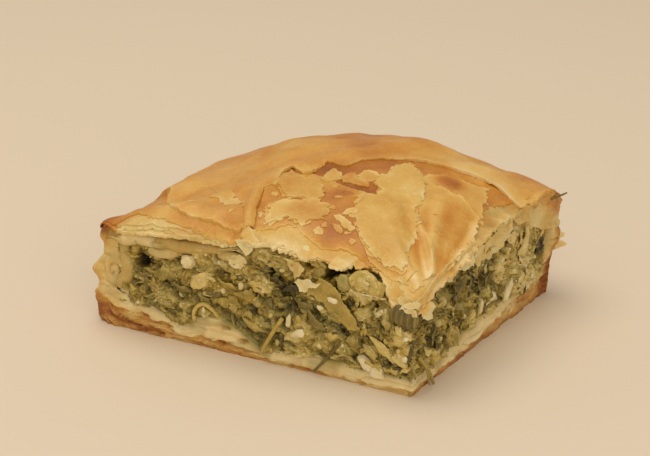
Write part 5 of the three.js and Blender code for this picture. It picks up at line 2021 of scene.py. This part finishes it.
# Large leaves: (u, v, out, length, width, turn, tilt in degrees, bend, ruffle, tone, warm, rim
# tone).
FRONT_LEAVES = [
    (-24.3, 17.2, 0.2, 6.6, 3.8, -14, 12, -0.6, 0.35, 0.46, 0.55, 0.2),
    (-5.6, 13.8, 0.3, 6.0, 3.6, 40, 18, -0.7, 0.4, 0.44, 0.8, 0.16),
    (-1.0, 16.2, 0.4, 5.6, 3.2, 24, 24, -0.8, 0.4, 0.48, 0.8, 0.14),
    (-5.8, 18.4, 0.6, 6.6, 2.4, -20, 35, -0.4, 0.2, 0.54, 0.8, 0.12),
    (-2.8, 20.6, 0.2, 5.4, 2.6, -14, 20, -0.3, 0.2, 0.3, 0.1, 0.06),
    (3.6, 24.5, 0.7, 7.6, 1.6, -4, 62, -0.3, 0.2, 0.28, 0.75, 0.1),
    (19.0, 14.2, 0.5, 7.0, 2.6, -44, 20, -0.5, 0.2, 0.38, 0.35, 0.1),
    (8.4, 21.8, 0.3, 5.2, 2.8, -24, 30, -0.5, 0.5, 0.12, 0.2, 0.14),
    (11.6, 20.2, 0.4, 4.6, 3.0, 16, 24, -0.6, 0.5, 0.1, 0.15, 0.16),
    (9.6, 18.0, 0.5, 5.4, 2.4, -12, 40, -0.4, 0.4, 0.2, 0.4, 0.12),
    (14.2, 21.6, 0.5, 3.6, 2.2, 30, 30, -0.4, 0.4, 0.14, 0.3, 0.14),
    (16.0, 17.4, 0.5, 5.0, 2.6, -30, 22, -0.5, 0.3, 0.34, 0.3, 0.12),
    (-19.6, 14.6, 0.4, 6.0, 2.4, -10, 30, -0.4, 0.3, 0.36, 0.3, 0.12),
    (-30.6, 15.6, 0.4, 5.0, 2.4, -40, 25, -0.4, 0.3, 0.34, 0.35, 0.14),
    (-9.6, 15.0, 0.5, 4.4, 2.4, 20, 25, -0.4, 0.3, 0.36, 0.25, 0.12),
    (41.4, 6.6, 0.5, 5.2, 1.8, -18, 40, -0.3, 0.4, 0.14, 0.1, 0.2),
    (37.6, 7.0, 0.5, 4.2, 1.6, -30, 40, -0.3, 0.4, 0.2, 0.15, 0.2),
]
RIGHT_LEAVES = [
    (-16.5, 18.0, 0.4, 5.0, 2.6, 70, 20, -0.4, 0.3, 0.3, 0.2, 0.12),
    (-9.0, 17.6, 0.4, 5.6, 2.2, 80, 20, -0.4, 0.3, 0.28, 0.15, 0.14),
    (-4.2, 15.4, 0.4, 5.2, 2.0, 85, 30, -0.4, 0.3, 0.32, 0.1, 0.14),
    (0.6, 17.8, 0.4, 5.4, 2.0, 78, 26, -0.4, 0.3, 0.34, 0.3, 0.12),
    (-19.6, 12.4, 0.4, 5.0, 2.4, 60, 26, -0.4, 0.3, 0.36, 0.3, 0.12),
    (-28.4, 12.0, 0.4, 5.4, 2.4, 70, 20, -0.4, 0.3, 0.3, 0.3, 0.14),
    (32.6, 14.6, -0.4, 5.0, 3.6, 40, 10, -0.5, 0.4, 0.06, 0.6, 0.04),
    (23.6, 5.6, 0.4, 2.8, 1.4, 30, 20, -0.2, 0.2, 0.1, 0.2, 0.1),
]
# The tan, wet flap of leek skin that hangs over the filling, and its two stalks and leek ring.
WET_FLAP = [
    (15.0, 21.9), (17.4, 23.4), (20.4, 24.6), (23.4, 25.2), (26.0, 23.4), (27.2, 20.4),
    (29.2, 18.0), (31.2, 14.4), (28.6, 13.6), (24.4, 16.5), (21.6, 18.8), (19.1, 20.3),
]
RING_PATH = [
    (-15.9, 6.8, -0.4), (-15.7, 9.2, 0.0), (-14.2, 11.2, 0.3), (-12.2, 11.9, 0.4),
    (-10.4, 11.0, 0.2), (-9.0, 9.4, -0.2), (-8.4, 8.0, -0.8),
]
PALE_STALK = [(10.2, 13.0, 0.6), (8.0, 9.4, 1.0), (5.8, 5.6, 1.2), (4.4, 2.9, 1.1)]
DARK_STALK = [(26.0, 9.8, 0.5), (23.6, 6.6, 1.0), (21.4, 3.9, 1.3), (19.3, 1.4, 1.2)]
CORNER_BLADE = [(45.4, 14.6, 0.2), (45.0, 12.0, 0.5), (44.4, 9.0, 0.5), (43.6, 6.4, 0.3)]
# Lumps of egg and cheese along the filling's crest: (u, v, radii, turn, tone, warm).
EGG_CREST = [
    (31.4, 26.3, (3.4, 2.5, 1.9), 0.1, 0.68, 0.88),
    (34.6, 24.9, (2.5, 2.6, 1.8), -0.4, 0.64, 0.86), (28.6, 25.6, (1.7, 1.6, 1.5), 0.3, 0.6, 0.8),
    (36.6, 22.6, (1.5, 2.2, 1.4), -0.2, 0.56, 0.8),
]
# The upright stem at the near corner.
FIBRE_STEM = {"from": 40.2, "to": 46.0, "top": 21.8, "foot": 17.6, "count": 13}


# Single stalks on the front cut: (kind, path, radius, sides, flatness, taper, (tone, warm)).
STALKS = [
    ("leek", RING_PATH, 0.6, 8, 1.4, 0.6, (0.68, 0.9)),
    ("dill", PALE_STALK, 0.55, 8, 0.8, 0.7, (0.58, 0.95)),
    ("dill", DARK_STALK, 0.45, 8, 0.8, 0.7, (0.26, 0.55)),
    ("dill", CORNER_BLADE, 0.5, 7, 1.0, 0.7, (0.22, 0.2)),
]
# Grains of pepper, and specks as dark: (u, v).
DARK_SPECKS = [
    (33.2, 23.9), (34.5, 22.4), (38.6, 23.2), (30.2, 20.6), (44.2, 4.2), (41.6, 4.0),
    (-17.6, 24.6),
]
GRAINS_ON_EGG = 14


def large_lumps(heap, face, rows, square, random):
    for u, v, out, size, turn, tone, warm in rows:
        shape = lump_shape(random, size, 1.0 + 0.5 * max(size), square)
        place = (u, v, out - size[2] * 0.55)
        heap.add(shape, face, (tone, warm), place, (math.radians(turn), 0, 0))


def large_leaves(leaf, face, rows, random):
    for u, v, out, length, width, turn, tilt, bend, ruffle, tone, warm, rim in rows:
        shape = leaf_shape(random, length, width, 0.4, bend, ruffle)
        across = np.abs(shape[0][:, 1]) / (width / 2)
        angles = (math.radians(turn), math.radians(tilt), 0)
        edge_tone = rim * np.clip(across, 0, 1) ** 3
        leaf.add(shape, face, (tone, warm), (u, v, out), angles, edge_tone)


def fibre_stem(dill, random):
    """A stem at the near corner, cut so that its upright fibres show."""
    top, foot = FIBRE_STEM["top"], FIBRE_STEM["foot"]
    for i in range(FIBRE_STEM["count"]):
        share = i / (FIBRE_STEM["count"] - 1)
        u = lerp(FIBRE_STEM["from"], FIBRE_STEM["to"], share)
        crown = 0.9 + 0.7 * math.sin(math.pi * share)
        path = [(u + 0.2, top + 0.6 * crown, 0.1), (u, top - 1, crown),
                (u - 0.15, foot + 1.4, crown), (u - 0.3, foot + random.normal(0, 0.5), 0.6)]
        tone = 0.24 + 0.14 * (i % 3 == 0) + random.normal(0, 0.03)
        dill.add(stalk_shape(path, 0.42, 6), FRONT_FACE, (tone, 0.45))


def egg_crest(crumbs, random):
    """Lumps of egg and cheese at the crest, each with fine grains all over it."""
    for u, v, size, turn, tone, warm in EGG_CREST:
        w = FRONT_FACE.level(u, v - 1) - size[2] + 0.3
        crumbs.add(lump_shape(random, size, 3.2), FRONT_FACE, (tone, warm), (u, v, w), (turn, 0, 0))
        for _ in range(GRAINS_ON_EGG):
            angle, reach = random.uniform(0, ANY_WAY), math.sqrt(random.uniform(0, 0.8))
            grain = random.uniform(0.3, 0.75) * np.array([random.uniform(1, 1.7), 1, 0.6])
            spot = (u + size[0] * reach * math.cos(angle), v + size[1] * reach * math.sin(angle),
                    w + size[2] * math.sqrt(1 - reach**2) - 0.1)
            shape, turned_by = lump_shape(random, grain, 1.0), random.uniform(0, ANY_WAY)
            colour = near_colour(random, (tone, warm), (-0.02, 0.09), (0, 0.1))
            crumbs.add(shape, FRONT_FACE, colour, spot, (turned_by, 0, 0))


def large_bits(leaf, crumbs, leek, feta, dill):
    """The bits that show plainly, each in its place."""
    random = np.random.default_rng(23)
    large_lumps(feta, FRONT_FACE, FRONT_FETA, 0.35, random)
    large_lumps(feta, RIGHT_FACE, RIGHT_FETA, 0.35, random)
    large_lumps(leek, FRONT_FACE, FRONT_LEEK, 0.0, random)
    large_leaves(leaf, FRONT_FACE, FRONT_LEAVES, random)
    large_leaves(leaf, RIGHT_FACE, RIGHT_LEAVES, random)
    add_flap(leek, FRONT_FACE, WET_FLAP, 0.4, 0.3, (0.53, 0.85), 0.08, 0.4, seed=3, wander=0.6)
    for kind, path, radius, sides, flatness, taper, colour in STALKS:
        heap = leek if kind == "leek" else dill
        heap.add(stalk_shape(path, radius, sides, flatness, taper), FRONT_FACE, colour)
    fibre_stem(dill, random)
    for u, v in DARK_SPECKS:
        speck = lump_shape(random, (0.36, 0.34, 0.3))
        leaf.add(speck, FRONT_FACE, (0.0, 0.3), (u, v, FRONT_FACE.level(u, v) + 0.2))
    egg_crest(crumbs, random)


# Torn pastry that hangs at the cuts: (face, outline, out, lift of its rim, toast).
HANGING_FLAPS = [
    ("front", [(-5.2, 26.3), (-1.0, 27.2), (0.8, 25.4), (-0.8, 23.5), (-3.8, 24.2)], 0.6, 0.5,
     0.22),
    ("front", [(11.6, 28.6), (14.8, 28.4), (16.4, 27.1), (15.9, 25.4), (14.2, 24.4), (13.4, 25.7),
     (12.0, 26.6)], 0.8, 0.4, 0.34),
    ("front", [(-2.5, 31.0), (0.2, 31.6), (0.9, 31.2), (2.8, 30.4), (2.4, 29.0), (0.5, 27.6),
     (-1.0, 29.0)], 1.0, 0.5, 0.14),
    ("front", [(14.4, 23.4), (15.1, 24.6), (16.4, 24.3), (17.7, 24.8), (18.9, 24.1), (21.4, 24.2),
     (19.9, 23.1), (18.1, 22.7), (17.3, 21.4), (15.7, 21.3)], 1.0, 0.5, 0.16),
    ("front", [(41.0, 24.4), (43.4, 25.4), (45.0, 24.4), (45.6, 23.4), (42.4, 22.9)], 0.7, 0.2,
     0.2),
    ("front", [(42.9, 22.2), (46.6, 23.1), (47.2, 21.2), (45.8, 20.9)], 1.2, 0.3, 0.2),
    ("front", [(42.3, 22.4), (44.6, 24.7), (46.9, 25.2), (48.4, 24.9), (47.2, 23.7),
     (45.3, 23.0)], 1.6, 0.3, 0.1),
    ("right", [(-35.6, 22.4), (-31.9, 22.2), (-30.0, 20.2), (-31.0, 19.1), (-31.4, 17.9),
     (-34.3, 18.4), (-36.6, 20.1)], 1.3, 0.4, 0.12),
    ("right", [(-8.5, 25.8), (-3.0, 27.0), (2.5, 27.8), (8.0, 28.4), (13.5, 28.8), (14.0, 25.4),
     (9.5, 23.8), (5.0, 22.6), (1.0, 21.8), (-3.0, 22.8), (-6.6, 21.8)], 0.3, 0.5, 0.3),
    ("right", [(-38.4, 22.8), (-37.5, 24.4), (-32, 26.0), (-26, 27.2), (-20, 28.2), (-14, 28.8),
     (-8, 29.2), (-7.6, 27.7), (-10.8, 25.2), (-13.5, 25.4), (-16.2, 24.0), (-20.2, 23.0),
     (-23.5, 23.8), (-26.3, 23.0), (-29.5, 23.6), (-32.8, 22.6), (-36, 21.6), (-38, 21.2)], 0.6,
     0.15, 0.3),
    ("right", [(-17.0, 25.2), (-13.0, 26.6), (-9.0, 27.0), (-9.8, 23.6), (-14.0, 24.0)], 0.7, 0.6,
     0.22),
    ("right", [(14.0, 29.0), (22.0, 29.4), (27.0, 28.6), (25.0, 25.0), (18.0, 25.4)], 0.2, 0.4,
     0.38),
]
SCRAPS_AT = (-14, 38, 4.4)  # from, to and step along the right cut
WHITE_STRIP = [(22.0, 23.9), (24.2, 23.6), (25.2, 20.4), (21.6, 15.8), (18.5, 17.0), (20.6, 19.8)]
# Stalks that stand out of the cuts: (face, path, radius, tone).
SPRIGS = [
    ("right", [(-36.4, 9.6, 0.6), (-34.6, 7.0, 1.4), (-32.4, 4.0, 1.7), (-30.4, 0.8, 1.6)], 0.5,
     0.5),
    ("right", [(-34.8, 7.6, 1.3), (-33.0, 6.2, 1.9), (-31.0, 5.2, 1.9)], 0.36, 0.44),
    ("right", [(-33.6, 5.4, 1.6), (-33.8, 3.4, 2.0), (-33.0, 1.6, 1.9)], 0.34, 0.48),
    ("front", [(45.0, 9.4, 1.0), (46.4, 7.4, 1.5), (46.6, 5.6, 1.4)], 0.34, 0.4),
    ("right", [(35.6, 27.3, 1.6), (38.8, 27.6, 2.7), (42.0, 27.6, 3.8)], 0.34, 0.3),
]
# Soft rolls of dough under the fold at the front left: (path, radius, taper, toast, stain).
DOUGH_ROLLS = [
    ([(-39.4, 11.0, -1.2), (-37.0, 13.6, -0.9), (-35.9, 17.0, -0.8), (-36.4, 20.4, -0.9),
     (-38.0, 22.6, -1.2)], 2.0, 0.8, 0.3, 0.36),
    ([(-39.0, 23.4, -1.2), (-35.4, 24.6, -0.8), (-31.6, 25.4, -0.6), (-28.0, 25.4, -0.8),
     (-25.6, 24.8, -1.4)], 2.0, 0.8, 0.17, 0.16),
    ([(-28.2, 25.2, -1.6), (-25.0, 25.7, -0.7), (-21.0, 25.9, -0.5), (-17.0, 25.7, -0.5),
     (-13.0, 26.3, -0.6), (-8.6, 26.9, -0.7), (-4.6, 26.8, -1.2)], 1.9, 0.6, 0.36, 0.34),
    ([(-29.4, 22.6, -0.8), (-26.4, 22.6, -0.1), (-23.4, 23.1, 0.0), (-20.2, 23.8, -0.6)], 1.35,
     0.8, 0.2, 0.3),
    ([(-8.6, 25.4, -0.8), (-5.0, 25.6, -0.1), (-1.6, 25.8, -0.5)], 1.2, 0.8, 0.28, 0.3),
]
# The outline of the back wall's ragged end, from its foot up.
PRONGS = [
    (-2, 17.2), (0.2, 16.6), (1.2, 15.8), (2.6, 14.9), (2.3, 14.3), (1.2, 14.0), (0.9, 13.2),
    (2.2, 12.6), (3.6, 12.1), (3.4, 11.5), (1.6, 11.2), (0.2, 10.6), (-2, 9.8),
]


def dough_rolls():
    dough = Heap("dough_rolls", pale_phyllo, "pastry_lid", 0.34, 2.6, ("toast", "stain"))
    for path, radius, taper, toast, stain in DOUGH_ROLLS:
        shape = stalk_shape(path, radius, 22, 0.9, taper, 0.35, blunt=False)
        dough.add(shape, FRONT_FACE, (toast, stain))
    dough.make()


def hanging_flakes():
    """The drawn flaps, and a row of scraps that the knife left at the lid's right cut."""
    flaps = Heap("hanging_flakes", pale_phyllo, "pastry_lid", 0.08, 1.5, ("toast",), crisp=True)
    for i, (side, outline, out, lift, toast) in enumerate(HANGING_FLAPS):
        add_flap(flaps, FACES[side], outline, out, lift, (toast,), -0.08, seed=90 + i)
    random = np.random.default_rng(51)
    for u in np.arange(*SCRAPS_AT):
        u = u + random.uniform(-1.8, 1.8)
        low, _, slope = RIGHT_FACE.lid_at(u)
        size, drop = random.uniform(1.6, 4.2), random.uniform(0.4, 2.4)
        angle = np.linspace(0, 2 * math.pi, 8, endpoint=False) + random.uniform(-0.3, 0.3, 8)
        reach = random.uniform(0.6, 1.2, 8)
        at_u = u + size / 2 * reach * np.cos(angle)
        at_v = reach * np.sin(angle) * (1.0 + drop / 2) + low + 0.6 - drop / 2 + slope * (at_u - u)
        add_flap(flaps, RIGHT_FACE, list(zip(at_u, at_v)), random.uniform(-0.1, 0.6), 0.25,
                 (random.uniform(0.22, 0.38),), -0.06, seed=int(random.integers(1000)))
    flaps.make()


def wall_prongs():
    """The ragged end of the back wall's sheets at the right cut."""
    prongs = Heap("wall_prongs", pale_phyllo, "pastry_case", 0.05, 1.5, ("toast",))
    shape, rim = flap_shape(PRONGS, 0, 0.1, 0.5, 77, 0.3)
    prongs.add(shape, RIGHT_FACE, (0.24,), (40.9, 1.2, 1.2), (0, 0, -math.pi / 3), -0.06 * rim)
    prongs.make()


def leek_strip():
    leek = Heap("leek_strip", soft_leek, "filling", 0.06, 1.2)
    add_flap(leek, RIGHT_FACE, WHITE_STRIP, 0.8, 0.1, (0.8, 0.8), -0.1, 0.8, seed=99)
    leek.make()


def dill_sprigs():
    dill = Heap("dill_sprigs", dill_stalk, "filling", 0.03, 0.8)
    for side, path, radius, tone in SPRIGS:
        dill.add(stalk_shape(path, radius, 6), FACES[side], (tone, 0.6))
    dill.make()


def bits_in_the_filling():
    heaps = [
        Heap("leaf_scraps", cooked_leaf, "filling", 0.08, 1.0),
        Heap("paste_crumbs", greens_paste, "filling", 0.16, 0.8),
        Heap("leek_slices", soft_leek, "filling", 0.06, 1.2),
        Heap("feta_crumbs", crumbled_feta, "filling", 0.12, 0.8),
        Heap("dill_threads", dill_stalk, "filling", 0.03, 0.8),
    ]
    loose_bits(*heaps)
    large_bits(*heaps)
    for heap in heaps:
        heap.make()


lid_body()
lid_sheets()
case_base()
case_walls()
filling_paste()
bits_in_the_filling()
layer_edges()
dough_rolls()
hanging_flakes()
wall_prongs()
leek_strip()
dill_sprigs()

# ---- Floor, light and camera ----


FLOOR_SIZE = 6.0
WARM_LIGHT = (1.0, 0.9, 0.78)
LIGHT_SIZE = 0.9
LIGHTS = {"key": ((-0.25, 0.0, 1.0), 5.0), "fill": ((0.65, -0.75, 0.5), 3.6)}  # place and watts
LIT_PLACE = (0, 0, 0.02)
ROOM_LIGHT = 0.46


def floor():
    bpy.ops.mesh.primitive_plane_add(size=FLOOR_SIZE, location=(0, 0, 0))
    ground = bpy.context.object
    ground.name = "pale_floor"
    material, _, shader = new_material("pale_floor")
    shader.inputs["Base Color"].default_value = srgb("#e6d8c2")
    shader.inputs["Roughness"].default_value = 0.6
    ground.data.materials.append(material)


def area_light(name, place, watts):
    lamp = bpy.data.lights.new(name, "AREA")
    lamp.shape = "DISK"
    lamp.size = LIGHT_SIZE
    lamp.energy = watts
    lamp.color = WARM_LIGHT
    made = bpy.data.objects.new(name, lamp)
    made.location = place
    made.rotation_euler = (Vector(place) - Vector(LIT_PLACE)).to_track_quat("Z", "Y").to_euler()
    bpy.context.collection.objects.link(made)


def studio():
    """Two large, soft, warm lights in a warm, evenly lit room."""
    for name, (place, watts) in LIGHTS.items():
        area_light(name, place, watts)
    world = bpy.data.worlds.new("soft_room")
    bpy.context.scene.world = world
    world.use_nodes = True
    background = world.node_tree.nodes["Background"]
    background.inputs["Color"].default_value = (*WARM_LIGHT, 1.0)
    background.inputs["Strength"].default_value = ROOM_LIGHT


# Where the camera stands, in degrees and metres, and its lens and sensor in millimetres.
CAMERA = {"azimuth": 30.27, "elevation": 19.69, "distance": 0.496,
          "target": (-0.0105, 0.0166, 0.015), "lens": 102.1, "sensor": 36.0, "nearest": 0.01}


def camera():
    azimuth, elevation = math.radians(CAMERA["azimuth"]), math.radians(CAMERA["elevation"])
    level = math.cos(elevation)
    back = Vector((math.sin(azimuth) * level, -math.cos(azimuth) * level, math.sin(elevation)))
    data = bpy.data.cameras.new("view")
    data.lens = CAMERA["lens"]
    data.sensor_width = CAMERA["sensor"]
    data.clip_start = CAMERA["nearest"]
    made = bpy.data.objects.new("view", data)
    made.location = Vector(CAMERA["target"]) + back * CAMERA["distance"]
    made.rotation_euler = back.to_track_quat("Z", "Y").to_euler()
    bpy.context.collection.objects.link(made)
    bpy.context.scene.camera = made


floor()
studio()
camera()
bpy.context.scene.view_settings.view_transform = "Standard"
